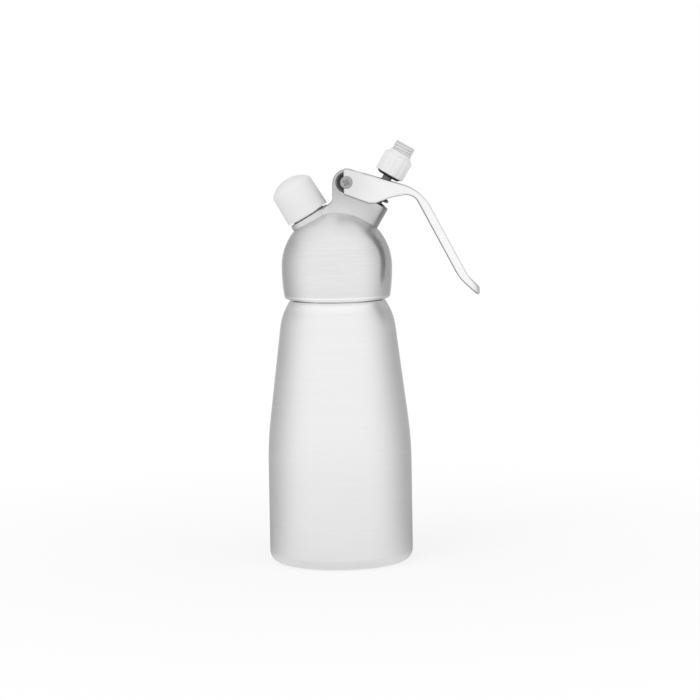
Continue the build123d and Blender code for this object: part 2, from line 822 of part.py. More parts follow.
with BuildPart() as lever:
    with BuildSketch(Plane.XZ):
        with BuildLine():
            ThreePointArc(eye_top, eye_crown, top_start)
            FilletPolyline(
                top_start,
                top_corner,
                outer_bend,
                tip_outside,
                tip_inside,
                inner_bend,
                crook,
                throat,
                belly_front,
                belly_back,
                heel,
                radius=(
                    shoulder_bend,
                    tip_bend,
                    0,
                    0,
                    tip_bend,
                    crook_fillet,
                    throat_fillet,
                    belly_fillet,
                    belly_fillet,
                ),
            )
            Line(heel, eye_top)
        make_face()
    extrude(amount=fork_half_width, both=True)
    with BuildSketch(Plane.XY):
        with BuildLine():
            FilletPolyline(
                (lever_back, -fork_half_width),
                (fork_end, -fork_half_width),
                (fork_end + fork_taper, -handle_half_width),
                (tip_end_x, -handle_half_width),
                (tip_end_x, handle_half_width),
                (fork_end + fork_taper, handle_half_width),
                (fork_end, fork_half_width),
                (lever_back, fork_half_width),
                radius=(0, fork_blend, fork_blend, tip_corner, tip_corner, fork_blend, fork_blend, 0),
                close=True,
            )
        make_face()
    extrude(amount=2 * pivot_z, mode=Mode.INTERSECT)
    rims = lever.edges().filter_by(Axis.Z, reverse=True).filter_by(Axis.Y, reverse=True)
    fillet(rims.filter_by(lambda edge: abs(edge.center().Y) > handle_half_width - tip_corner), lever_edge)
    with BuildSketch(Plane.XZ) as channel_side:
        with BuildLine():
            Polyline(
                (lever_back, channel_floor_z),
                (channel_front, channel_floor_z),
                (channel_front, bridge_height(channel_front)),
                (bridge_back, bridge_height(bridge_back)),
                (bridge_back, channel_roof_z),
                (lever_back, channel_roof_z),
                close=True,
            )
        make_face()
        inside = (channel_front, bridge_height(channel_front))
        fillet(channel_side.vertices().sort_by_distance(inside)[0], channel_fillet)
    extrude(amount=cheek_inner, both=True, mode=Mode.SUBTRACT)
    with BuildSketch(Plane.XZ):
        with Locations((rib_center.X, rib_center.Z)):
            Circle(rib_radius)
    extrude(amount=cheek_inner, both=True)
    with BuildSketch(slot_plane):
        with Locations(((slot_front - slot_back) / 2, 0)):
            SlotOverall(slot_front + slot_back, 2 * (stem_neck_radius + slot_clearance))
    extrude(amount=-2 * (bridge_thickness + rib_radius), mode=Mode.SUBTRACT)
    for side in (1, -1):
        with BuildSketch(Plane.XZ.offset(side * cheek_inner)):
            with Locations((pivot_x, pivot_z)):
                Circle(pivot_head_radius - lug_inset)
        extrude(amount=side * cheek_thickness)
    with BuildSketch(Plane.XZ):
        with Locations((pivot_x, pivot_z)):
            Circle(bush_bore)
    extrude(amount=cheek_outer, both=True, mode=Mode.SUBTRACT)
write(lever, "lever")

# Valve stem: hollow, with cross ports above the poppet and a neck for the adapter
port_height = poppet_seal_top + stem_port_height
with BuildPart() as valve_stem:
    with BuildSketch(nozzle_section):
        with BuildLine():
            Polyline(
                (0, poppet_floor),
                (stem_tail_radius, poppet_floor),
                (stem_tail_radius, poppet_top),
                (stem_radius, poppet_top),
                (stem_radius, stem_shoulder),
                (stem_neck_radius, stem_shoulder),
                (stem_neck_radius, stem_end),
                (stem_bore_radius, stem_end),
                (stem_bore_radius, poppet_top + stem_floor),
                (0, poppet_top + stem_floor),
                close=True,
            )
        make_face()
    revolve(axis=nozzle_axis)
    with BuildSketch(Plane.XZ):
        port_center = dome_center + nozzle_axis.direction * port_height
        with Locations((port_center.X, port_center.Z)):
            Circle(stem_port_radius)
    extrude(amount=stem_radius, both=True, mode=Mode.SUBTRACT)
write(valve_stem, "valve_stem")

# Poppet: the disc on the stem's tail that closes the valve from inside
poppet_outline = (
    (stem_tail_radius + fit_clearance, poppet_floor),
    (poppet_radius - poppet_edge, poppet_floor),
    (poppet_radius, poppet_floor + poppet_edge),
    (poppet_radius, poppet_top),
    (stem_tail_radius + fit_clearance, poppet_top),
)
valve_poppet = turned_outline(nozzle_section, nozzle_axis, poppet_outline)
write(valve_poppet, "valve_poppet")

poppet_seal = turned_ring(
    nozzle_section,
    nozzle_axis,
    stem_fit_radius,
    poppet_radius,
    poppet_top,
    poppet_seal_top,
)
write(poppet_seal, "poppet_seal")

# Guide bush and stem ring in the boss, held down by the spring's seat
guide_bush = turned_ring(
    nozzle_section,
    nozzle_axis,
    stem_fit_radius,
    bush_bore_radius - fit_clearance,
    chamber_top,
    guide_top,
)
write(guide_bush, "guide_bush")

ring_center = (bush_bore_radius + stem_radius) / 2
with BuildPart() as stem_o_ring:
    with BuildSketch(nozzle_section):
        with Locations((ring_center, guide_top + ring_section_radius)):
            Circle(ring_section_radius)
    revolve(axis=nozzle_axis)
write(stem_o_ring, "stem_o_ring")

spring_seat = turned_ring(
    nozzle_section,
    nozzle_axis,
    stem_fit_radius,
    counterbore_radius - spring_seat_margin,
    counterbore_floor,
    spring_floor,
)
write(spring_seat, "spring_seat")

# Washer on the stem's shoulder, between the spring and the lever's ribs
spring_washer = turned_ring(
    nozzle_section,
    nozzle_axis,
    neck_fit_radius,
    washer_radius,
    stem_shoulder,
    washer_top,
)
write(spring_washer, "spring_washer")

# Valve spring: one round wire along a helix, each quarter turn drawn as two tangent arcs
spring_low = spring_floor + wire_radius + spring_end_gap
spring_high = stem_shoulder - wire_radius - spring_end_gap
spring_turns = math.floor((spring_high - spring_low) / spring_pitch)
spring_rise = (spring_high - spring_low) / spring_turns
quarter_turns = 4 * spring_turns
spring_plane = station_plane(nozzle_axis, nozzle_section, 0)


def spring_point(turn):
    """Point on the wire's centre line after a number of turns."""
    swing = 2 * math.pi * turn
    local = (spring_mean_radius * math.cos(swing), spring_mean_radius * math.sin(swing))
    return spring_plane.from_local_coords(Vector(*local, spring_low + spring_rise * turn))


def spring_heading(turn):
    """Direction of the wire after a number of turns."""
    swing = 2 * math.pi * turn
    reach = 2 * math.pi * spring_mean_radius
    local = Vector(-reach * math.sin(swing), reach * math.cos(swing), spring_rise)
    base = spring_plane.from_local_coords(Vector(0, 0, 0))
    return (spring_plane.from_local_coords(local) - base).normalized()


def quarter_turn(start):
    """Two tangent arcs that carry the wire through a quarter turn."""
    first, last = spring_point(start), spring_point(start + 0.25)
    leave, arrive = spring_heading(start), spring_heading(start + 0.25)
    chord = last - first
    both = leave + arrive
    square = 4 - both.dot(both)
    half = chord.dot(both)
    reach = (math.sqrt(half**2 + square * chord.dot(chord)) - half) / square
    near = first + leave * reach
    far = last - arrive * reach
    middle = (near + far) * 0.5
    TangentArc(first, middle, tangent=leave)
    TangentArc(middle, last, tangent=far - near)


with BuildPart() as valve_spring:
    with BuildLine() as spring_path:
        for quarter in range(quarter_turns):
            quarter_turn(quarter / 4)
    with BuildSketch(Plane(origin=spring_point(0), z_dir=spring_heading(0))):
        Circle(wire_radius)
    sweep(path=spring_path.wire())
write(valve_spring, "valve_spring")

samples = [spring_point(step / 24) for step in range(24 * spring_turns + 1)]
self_gap = min(
    (samples[one] - samples[other]).length
    for one in range(len(samples))
    for other in range(one + 12, len(samples))
)
print(f"valve spring: least gap to itself {self_gap - wire_diameter:.2f} mm")

# Nozzle adapter: a fluted nut on the stem's neck with a threaded spout
shoulder_top_radius = adapter_thread_radius + adapter_shoulder_step
with BuildPart() as nozzle_adapter:
    with BuildSketch(nozzle_section):
        with BuildLine():
            Polyline(
                (neck_fit_radius, adapter_floor),
                (adapter_radius - adapter_edge, adapter_floor),
                (adapter_radius, adapter_floor + adapter_edge),
                (adapter_radius, adapter_body_top),
                (shoulder_top_radius, adapter_thread_floor),
                (adapter_thread_radius, adapter_thread_floor),
                (adapter_thread_radius, adapter_top),
                (adapter_passage_radius, adapter_top),
                (adapter_passage_radius, stem_end + fit_clearance),
                (neck_fit_radius, stem_end + fit_clearance),
                close=True,
            )
        make_face()
    revolve(axis=nozzle_axis)
    with BuildSketch(station_plane(nozzle_axis, nozzle_section, adapter_floor)):
        with PolarLocations(adapter_radius + flute_radius - flute_depth, flute_count):
            Circle(flute_radius)
    extrude(amount=adapter_length + adapter_shoulder, mode=Mode.SUBTRACT)
write(nozzle_adapter, "nozzle_adapter")

adapter_seal = turned_outline(
    nozzle_section,
    nozzle_axis,
    (
        (neck_fit_radius, adapter_seal_floor),
        (adapter_seal_foot, adapter_seal_floor),
        (adapter_seal_radius, adapter_floor - adapter_seal_edge),
        (adapter_seal_radius, adapter_floor),
        (neck_fit_radius, adapter_floor),
    ),
)
write(adapter_seal, "adapter_seal")
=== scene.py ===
"""Looks, light and camera of a cream whipper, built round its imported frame."""

import logging
import math
from abc import ABC, abstractmethod
from collections.abc import Callable, Sequence
from dataclasses import dataclass
from enum import Enum

import bmesh
import bpy
from mathutils import Euler, Matrix, Quaternion, Vector


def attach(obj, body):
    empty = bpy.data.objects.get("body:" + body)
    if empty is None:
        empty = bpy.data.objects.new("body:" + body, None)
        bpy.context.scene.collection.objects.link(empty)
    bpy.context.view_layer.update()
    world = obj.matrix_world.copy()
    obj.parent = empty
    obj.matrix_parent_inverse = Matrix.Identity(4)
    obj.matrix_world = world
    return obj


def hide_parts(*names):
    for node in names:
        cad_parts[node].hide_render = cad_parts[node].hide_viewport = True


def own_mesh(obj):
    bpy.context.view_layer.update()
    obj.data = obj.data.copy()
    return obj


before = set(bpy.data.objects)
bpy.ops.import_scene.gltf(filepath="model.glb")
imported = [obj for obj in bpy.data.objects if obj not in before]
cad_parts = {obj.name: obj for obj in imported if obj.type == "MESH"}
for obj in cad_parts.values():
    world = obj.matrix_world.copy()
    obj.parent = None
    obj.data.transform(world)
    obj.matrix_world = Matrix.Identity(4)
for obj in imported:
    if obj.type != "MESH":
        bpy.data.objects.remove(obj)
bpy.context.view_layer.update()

log = logging.getLogger("cream_whipper")

MM = 0.001
FULL_TURN = 2 * math.pi
WELD_DISTANCE = 1e-7
CREASE_ANGLE = math.radians(38)

# Short sides that round a corner, and the most that they take of the sides beside it.
CORNER_STEPS = 4
CORNER_SHARE = 0.45

# Ends of a mask that grows and of one that falls.
RISE = (0.0, 1.0)
FALL = (1.0, 0.0)

# Share of broad lines in brushing, brightness that rubbed edges keep below, and Metallic of a metal.
BAND_SHARE = 0.35
EDGE_LIMIT = 0.95
METAL = 1.0

Span = tuple[float, float]
Point = tuple[float, float, float]
Outline = Sequence[Span]
Reach = Callable[[float, float, float], float]
Ends = tuple[object, object]
Inputs = dict[str | int, object]
Socket = bpy.types.NodeSocket


@dataclass(frozen=True)
class TurnAxis:
    """Axis that turned pieces are built about.

    Attributes:
        origin: Point of station zero, in millimetres.
        turn: Euler angles in degrees that bring +Z onto the axis.
    """

    origin: Point
    turn: Point

    @property
    def angles(self) -> Point:
        """Euler angles in radians."""
        return tuple(math.radians(angle) for angle in self.turn)

    def placement(self) -> Matrix:
        """Place of the axis in the row frame, in millimetres."""
        return Matrix.Translation(self.origin) @ Euler(self.angles).to_matrix().to_4x4()

    def direction(self) -> Vector:
        """Unit vector along the axis."""
        return Euler(self.angles).to_matrix() @ Vector((0, 0, 1))

    def point(self, station: float) -> Vector:
        """Point on the axis at a station, in metres."""
        return (self.placement() @ Vector((0, 0, station))) * MM


class PieceAxis(Enum):
    """The four axes that the pieces are turned about."""

    BOTTLE = TurnAxis((0, 0, 0), (0, 0, 0))
    INLET = TurnAxis((0, 0, 153.484), (0, -31.0, 0))
    NOZZLE = TurnAxis((0, 0, 150.484), (0, 30.5, 0))
    PIVOT = TurnAxis((5.4, 0, 193.084), (90.0, 0, 0))


def smooth_step(low: float, high: float, value: float) -> float:
    """Smooth rise from 0 at low to 1 at high."""
    share = min(max((value - low) / (high - low), 0.0), 1.0)
    return share * share * (3 - 2 * share)


def shifted(span: Span, base: float) -> Span:
    """A span counted from a base."""
    return (base + span[0], base + span[1])


def grey(tone: float) -> tuple[float, float, float, float]:
    """Neutral colour of a tone, for a colour socket."""
    return (tone, tone, tone, 1.0)


def polar(radius: float, angle: float, station: float) -> Vector:
    """Point in an axis's own coordinates, in millimetres."""
    return Vector((radius * math.cos(angle), radius * math.sin(angle), station))


def round_angles(count: int) -> list[float]:
    """Angles that share out a full turn."""
    return [FULL_TURN * index / count for index in range(count)]


def soften(outline: Outline, radius: float) -> list[Span]:
    """Rounds every corner of a closed outline.

    Args:
        outline: Corners as (radius, station), in millimetres.
        radius: Length that each side gives up at a corner.

    Returns:
        The outline with short sides for each corner.
    """
    rounded = []
    for index, corner in enumerate(outline):
        here = Vector(corner)
        before = Vector(outline[index - 1]) - here
        after = Vector(outline[(index + 1) % len(outline)]) - here
        sides = (before, after)
        start, end = (side.normalized() * min(radius, CORNER_SHARE * side.length) for side in sides)
        for step in range(CORNER_STEPS + 1):
            share = step / CORNER_STEPS
            point = here + start * (1 - share) ** 2 + end * share**2
            rounded.append((point.x, point.y))
    return rounded


@dataclass(frozen=True)
class Thread:
    """Right-handed thread on a turned surface, sizes in millimetres.

    Attributes:
        root: Radius at the foot of the ridge.
        crest: Radius at its top. A thread in a bore has a crest below its root.
        pitch: Rise of a turn.
        start: Station where the thread begins.
        end: Station where it ends.
        fade: Length over which the ridge rises and dies away.
        flank: Shares of half a pitch between which the flank falls.
    """

    root: float
    crest: float
    pitch: float
    start: float
    end: float
    fade: float
    flank: Span = (0.2, 0.78)

    def reach(self, radius: float, station: float, angle: float) -> float:
        """Radius of a turned surface, with the thread where the plain radius is the root's.

        Args:
            radius: Plain radius.
            station: Place along the axis.
            angle: Angle about the axis, in radians.

        Returns:
            The radius there.
        """
        if radius != self.root:
            return radius
        phase = ((station - self.start) / self.pitch - angle / FULL_TURN) % 1.0
        height = 1 - smooth_step(*self.flank, abs(phase - 0.5) * 2)
        shown = smooth_step(self.start, self.start + self.fade, station)
        shown *= 1 - smooth_step(self.end - self.fade, self.end, station)
        return self.root + (self.crest - self.root) * height * shown

    def outline(self, corners: Outline, radius: float, step: float) -> list[Span]:
        """Rounded outline with rows for the thread after the first corner on its root.

        Args:
            corners: Corners of the plain outline.
            radius: Length that each side gives up at a corner.
            step: Distance between the rows.

        Returns:
            The outline.
        """
        soft = soften(corners, radius)
        cut = ([corner[0] for corner in corners].index(self.root) + 1) * (CORNER_STEPS + 1)
        length = self.end - self.start
        count = round(length / step)
        rows = [(self.root, self.start + length * row / count) for row in range(count + 1)]
        return [*soft[:cut], *rows, *soft[cut:]]


class MeshShape:
    """Points and faces of one piece, gathered in an axis's coordinates in millimetres."""

    def __init__(self, name: str, axis: PieceAxis) -> None:
        """Starts an empty shape.

        Args:
            name: Name of the piece.
            axis: Axis that its points are measured from.
        """
        self.name = name
        self.axis = axis
        self.points: list[Vector] = []
        self.faces: list[tuple[int, ...]] = []

    def skin(self, rows: Sequence[Sequence[Vector]], wrap: bool = False, ends: bool = False) -> None:
        """Covers rows of points, each a closed loop, with four-sided faces.

        Args:
            rows: Loops with the same number of points.
            wrap: True joins the last loop to the first.
            ends: True closes the first and the last loop.
        """
        width = len(rows[0])
        self.points = [point for row in rows for point in row]
        for low in range(len(rows) if wrap else len(rows) - 1):
            high = (low + 1) % len(rows)
            for here in range(width):
                there = (here + 1) % width
                corners = ((low, here), (low, there), (high, there), (high, here))
                self.faces.append(tuple(row * width + column for row, column in corners))
        if ends:
            self.faces.append(tuple(range(width)))
            self.faces.append(tuple(range(len(self.points) - width, len(self.points))))

    def turned(self, outline: Outline, segments: int, reach: Reach | None = None, wrap: bool = True) -> None:
        """Turns an outline about the axis.

        Args:
            outline: Corners as (radius, station).
            segments: Points round the axis.
            reach: Gives the radius from an outline radius, a station and an angle.
            wrap: True joins the outline's end to its start.
        """
        angles = round_angles(segments)
        rows = []
        for radius, station in outline:
            radii = [reach(radius, station, angle) if reach else radius for angle in angles]
            rows.append([polar(far, angle, station) for far, angle in zip(radii, angles)])
        self.skin(rows, wrap=wrap)

    def build(self) -> bpy.types.Object:
        """Makes the object, in metres in the row frame.

        Returns:
            The new object, linked to the scene.
        """
        place = self.axis.value.placement()
        mesh = bpy.data.meshes.new(self.name)
        mesh.from_pydata([(place @ point) * MM for point in self.points], [], self.faces)
        work = bmesh.new()
        work.from_mesh(mesh)
        bmesh.ops.remove_doubles(work, verts=work.verts, dist=WELD_DISTANCE)
        bmesh.ops.recalc_face_normals(work, faces=work.faces)
        work.to_mesh(mesh)
        work.free()
        mesh.polygons.foreach_set("use_smooth", [True] * len(mesh.polygons))
        mesh.set_sharp_from_angle(angle=CREASE_ANGLE)
        piece = bpy.data.objects.new(self.name, mesh)
        bpy.context.scene.collection.objects.link(piece)
        return piece


@dataclass(frozen=True)
class ThreadRidge:
    """Ridge of a thread as a piece of its own about the bottle's axis, sizes in millimetres.

    The flank turns in to the crest at the bend, a share of the height, where bend_share of its width is
    left. The crest's flat stays back from its sides by the edge.
    """

    thread: Thread
    foot: float = 1.9
    top: float = 0.8
    bury: float = 0.1
    bend: float = 0.85
    bend_share: float = 0.075
    edge: float = 0.12
    segments: int = 96

    def build(self, name: str) -> bpy.types.Object:
        """Winds the ridge.

        Args:
            name: Name of the piece.

        Returns:
            The new object.
        """
        thread = self.thread
        turns = (thread.end - thread.start) / thread.pitch
        count = round(turns * self.segments)
        foot_radius = thread.root + math.copysign(self.bury, thread.root - thread.crest)
        bend_width = self.top / 2 + (self.foot - self.top) * self.bend_share
        rows = []
        for index in range(count + 1):
            angle = FULL_TURN * turns * index / count
            station = thread.start + thread.pitch * angle / FULL_TURN
            share = min(index, count - index) / (thread.fade / thread.pitch * self.segments)
            height = (thread.crest - thread.root) * smooth_step(0, 1, share)
            half = [
                (foot_radius, self.foot / 2),
                (thread.root + height * self.bend, bend_width),
                (thread.root + height, self.top / 2 - self.edge),
            ]
            corners = [*((radius, -width) for radius, width in half), *reversed(half)]
            rows.append([polar(radius, angle, station + rise) for radius, rise in corners])
        shape = MeshShape(name, PieceAxis.BOTTLE)
        shape.skin(rows, ends=True)
        return shape.build()


class MixKind(Enum):
    """What a Mix node mixes: its data type, its first input and its output."""

    NUMBER = ("FLOAT", 2, 0)
    VECTOR = ("VECTOR", 4, 1)
    COLOUR = ("RGBA", 6, 2)


class NodeBoard:
    """Short calls for placing and linking the nodes of a tree."""

    def __init__(self, tree: bpy.types.NodeTree) -> None:
        """Clears a tree and takes it over."""
        self.tree = tree
        tree.nodes.clear()

    def add(self, kind: str, inputs: Inputs | None = None, **settings: object) -> bpy.types.Node:
        """Places a node.

        Args:
            kind: Blender's name of the node's type.
            inputs: Values or sockets for its inputs.
            settings: Properties of the node.

        Returns:
            The node.
        """
        node = self.tree.nodes.new(kind)
        for name, value in settings.items():
            setattr(node, name, value)
        for name, value in (inputs or {}).items():
            self.feed(node.inputs[name], value)
        return node

    def feed(self, socket: Socket, value: object) -> None:
        """Links a socket to an input, or sets the input's value.

        Args:
            socket: The input.
            value: A socket or a value.
        """
        if isinstance(value, Socket):
            self.tree.links.new(value, socket)
        else:
            socket.default_value = value

    def show(self, output: str, shader: Socket) -> None:
        """Links a shader to a new output node."""
        self.feed(self.add(output).inputs["Surface"], shader)

    def math(self, operation: str, first: object, second: object = 0.0, clamp: bool = False) -> Socket:
        """Result of a Math node."""
        node = self.add("ShaderNodeMath", {0: first, 1: second}, operation=operation, use_clamp=clamp)
        return node.outputs[0]

    def vector(self, operation: str, inputs: Inputs) -> Socket:
        """Vector that a Vector Math node gives."""
        return self.add("ShaderNodeVectorMath", inputs, operation=operation).outputs["Vector"]

    def measure(self, operation: str, *vectors: object) -> Socket:
        """Number that a Vector Math node gives."""
        inputs = dict(enumerate(vectors))
        return self.add("ShaderNodeVectorMath", inputs, operation=operation).outputs["Value"]

    def split(self, vector: Socket) -> tuple[Socket, Socket, Socket]:
        """The three parts of a vector."""
        return tuple(self.add("ShaderNodeSeparateXYZ", {0: vector}).outputs)

    def join(self, *parts: object) -> Socket:
        """Vector of two or three parts."""
        return self.add("ShaderNodeCombineXYZ", dict(enumerate(parts))).outputs[0]

    def from_axis(self, place: Socket) -> Socket:
        """Distance of a place from its Z axis."""
        return self.measure("LENGTH", self.join(*self.split(place)[:2]))

    def remap(self, value: object, source: Span, target: Ends = RISE, smooth: bool = False) -> Socket:
        """Value brought from one range to another, and kept inside it.

        Args:
            value: What to read.
            source: Ends of its range.
            target: Ends of the new range, as values or sockets.
            smooth: True eases the value in and out.

        Returns:
            The socket that holds the result.
        """
        names = ("Value", "From Min", "From Max", "To Min", "To Max")
        inputs = dict(zip(names, (value, *source, *target)))
        kind = "SMOOTHSTEP" if smooth else "LINEAR"
        return self.add("ShaderNodeMapRange", inputs, interpolation_type=kind).outputs["Result"]

    def blend(
        self, factor: object, first: object, second: object, kind: MixKind = MixKind.COLOUR
    ) -> Socket:
        """Mix of two colours, numbers or vectors.

        Args:
            factor: Share of the second.
            first: Value or socket of the first.
            second: Value or socket of the second.
            kind: What is mixed.

        Returns:
            The socket that holds the mix.
        """
        data, place, result = kind.value
        node = self.add("ShaderNodeMix", {0: factor, place: first, place + 1: second}, data_type=data)
        return node.outputs[result]

    def darken(self, colour: Socket, mask: Socket, share: object) -> Socket:
        """Colour darkened by a share where a mask is 1."""
        return self.blend(self.math("MULTIPLY", mask, share), colour, grey(0.0))

    def shades(self, mask: Socket, tone: float, share: float) -> Socket:
        """Grey that a mask moves by a share of its tone, down at 0 and up at 1."""
        return self.blend(mask, grey(tone * (1 - share)), grey(tone * (1 + share)))

    def vary(self, mask: Socket, mean: float, share: float) -> Socket:
        """Number that a mask moves by a share of its mean, down at 0 and up at 1."""
        return self.remap(mask, RISE, (mean * (1 - share), mean * (1 + share)))

    def noise(self, vector: Socket, detail: float, roughness: float = 0.5) -> Socket:
        """Height of a noise texture of size 1."""
        values = {"Vector": vector, "Scale": 1.0, "Detail": detail, "Roughness": roughness}
        return self.add("ShaderNodeTexNoise", values).outputs["Fac"]


class GroupBoard(NodeBoard):
    """Nodes of a group, with the sockets at its two ends."""

    def __init__(self, tree: bpy.types.NodeTree) -> None:
        """Takes over a group's tree.

        Args:
            tree: The tree.
        """
        super().__init__(tree)
        self.given = self.add("NodeGroupInput").outputs
        self.result = self.add("NodeGroupOutput").inputs

    def sized_noise(self, size: Socket, detail: float) -> Socket:
        """Noise over the group's place, with waves of a size."""
        scale = self.math("DIVIDE", 1.0, size)
        return self.noise(self.vector("SCALE", {0: self.given["Position"], "Scale": scale}), detail)


class EffectGroup(ABC):
    """A surface effect that several finishes share, as a shader node group with named sockets."""

    name: str
    vectors_in: tuple[str, ...] = ()
    numbers_in: tuple[str, ...] = ()
    vectors_out: tuple[str, ...] = ()
    numbers_out: tuple[str, ...] = ()

    def tree(self) -> bpy.types.NodeTree:
        """The group's tree, built the first time that it is asked for.

        Returns:
            The tree.
        """
        found = bpy.data.node_groups.get(self.name)
        if found:
            return found
        tree = bpy.data.node_groups.new(self.name, "ShaderNodeTree")
        sockets = (
            ("INPUT", "NodeSocketVector", self.vectors_in),
            ("INPUT", "NodeSocketFloat", self.numbers_in),
            ("OUTPUT", "NodeSocketFloat", self.numbers_out),
            ("OUTPUT", "NodeSocketVector", self.vectors_out),
        )
        for direction, kind, names in sockets:
            for name in names:
                tree.interface.new_socket(name, in_out=direction, socket_type=kind)
        self.wire(GroupBoard(tree))
        return tree

    def place(self, board: NodeBoard, **inputs: object) -> bpy.types.NodeOutputs:
        """Places the group in a material and gives its outputs."""
        return board.add("ShaderNodeGroup", inputs, node_tree=self.tree()).outputs

    @abstractmethod
    def wire(self, board: GroupBoard) -> None:
        """Wires the inside of the group.

        Args:
            board: The group's nodes.
        """


class TurnedLines(EffectGroup):
    """Fine lines round an axis, as brushing or turning leaves them."""

    name = "turned_lines"
    vectors_in = ("Position",)
    numbers_in = ("Spacing", "Streak")
    numbers_out = ("Lines", "Bands")
    line_levels = (0.34, 0.66)
    band_levels = (0.3, 0.7)
    band_width = 7.0
    detail = 4.0
    roughness = 0.62

    def wire(self, board: GroupBoard) -> None:
        """Stretches noise along the lines, once finely and once broadly.

        Args:
            board: The group's nodes.
        """
        parts = board.split(board.given["Position"])
        for output, width, levels in (
            ("Lines", 1.0, self.line_levels),
            ("Bands", self.band_width, self.band_levels),
        ):
            streak = board.math("MULTIPLY", board.given["Streak"], width)
            spacing = board.math("MULTIPLY", board.given["Spacing"], width)
            sizes = (streak, streak, spacing)
            stretched = board.join(*(board.math("DIVIDE", part, size) for part, size in zip(parts, sizes)))
            height = board.noise(stretched, self.detail, self.roughness)
            board.feed(board.result[output], board.remap(height, levels))


class FineGrain(EffectGroup):
    """Even grain of a cast, moulded or blasted skin."""

    name = "fine_grain"
    vectors_in = ("Position",)
    numbers_in = ("Size",)
    numbers_out = ("Height", "Tone")
    levels = (0.3, 0.7)
    tone_width = 18.0
    height_detail = 3.0
    tone_detail = 2.0

    def wire(self, board: GroupBoard) -> None:
        """Lays fine noise for the height and broad noise for the tone.

        Args:
            board: The group's nodes.
        """
        for output, width, detail in (
            ("Height", 1.0, self.height_detail),
            ("Tone", self.tone_width, self.tone_detail),
        ):
            size = board.math("MULTIPLY", board.given["Size"], width)
            board.feed(board.result[output], board.remap(board.sized_noise(size, detail), self.levels))


class HandMarks(EffectGroup):
    """Broad soft marks that handling leaves on a finish."""

    name = "hand_marks"
    vectors_in = ("Position",)
    numbers_in = ("Patch",)
    numbers_out = ("Mask",)
    levels = (0.48, 0.75)
    detail = 1.0

    def wire(self, board: GroupBoard) -> None:
        """Keeps the upper part of broad noise as a mask."""
        height = board.sized_noise(board.given["Patch"], self.detail)
        board.feed(board.result["Mask"], board.remap(height, self.levels))


class EdgeWear(EffectGroup):
    """Rounded look and rubbed mask of the edges."""

    name = "edge_wear"
    numbers_in = ("Radius", "Gain")
    numbers_out = ("Mask",)
    vectors_out = ("Normal",)
    samples = 8

    def wire(self, board: GroupBoard) -> None:
        """Compares the rounded normal with the plain one.

        Args:
            board: The group's nodes.
        """
        bevel = board.add("ShaderNodeBevel", {"Radius": board.given["Radius"]}, samples=self.samples)
        plain = board.add("ShaderNodeNewGeometry").outputs["Normal"]
        apart = board.math("SUBTRACT", 1.0, board.measure("DOT_PRODUCT", bevel.outputs[0], plain))
        board.feed(board.result["Mask"], board.math("MULTIPLY", apart, board.given["Gain"], clamp=True))
        board.feed(board.result["Normal"], bevel.outputs[0])


class TurnedNormal(EffectGroup):
    """Normal of a shell turned about Z, free of the flats and the seam of its mesh."""

    name = "turned_normal"
    vectors_in = ("Position", "Facing")
    vectors_out = ("Normal",)

    def wire(self, board: GroupBoard) -> None:
        """Keeps the rise of the mesh's normal and turns it straight away from the axis.

        Args:
            board: The group's nodes.
        """
        facing = board.given["Facing"]
        rise = board.split(facing)[2]
        outward = board.vector("NORMALIZE", {0: board.join(*board.split(board.given["Position"])[:2])})
        side = board.math("SIGN", board.measure("DOT_PRODUCT", facing, outward))
        level = board.math("SUBTRACT", 1.0, board.math("MULTIPLY", rise, rise), clamp=True)
        reach = board.math("MULTIPLY", board.math("SQRT", level), side)
        away = board.vector("SCALE", {0: outward, "Scale": reach})
        normal = board.vector("ADD", {0: away, 1: board.join(0.0, 0.0, rise)})
        settings = {"vector_type": "NORMAL", "convert_from": "OBJECT", "convert_to": "WORLD"}
        world = board.add("ShaderNodeVectorTransform", {0: normal}, **settings)
        board.feed(board.result["Normal"], world.outputs[0])


@dataclass(frozen=True)
class Wear:
    """Marks of hands and rubbed edges, lengths in metres.

    Attributes:
        patch: Size of the marks.
        change: What they add to the roughness.
        gain: How strongly the edges are rubbed.
        lift: How many times brighter they are.
        radius: Radius that they look rounded to.
    """

    patch: float
    change: float
    gain: float
    lift: float
    radius: float = 0.0004


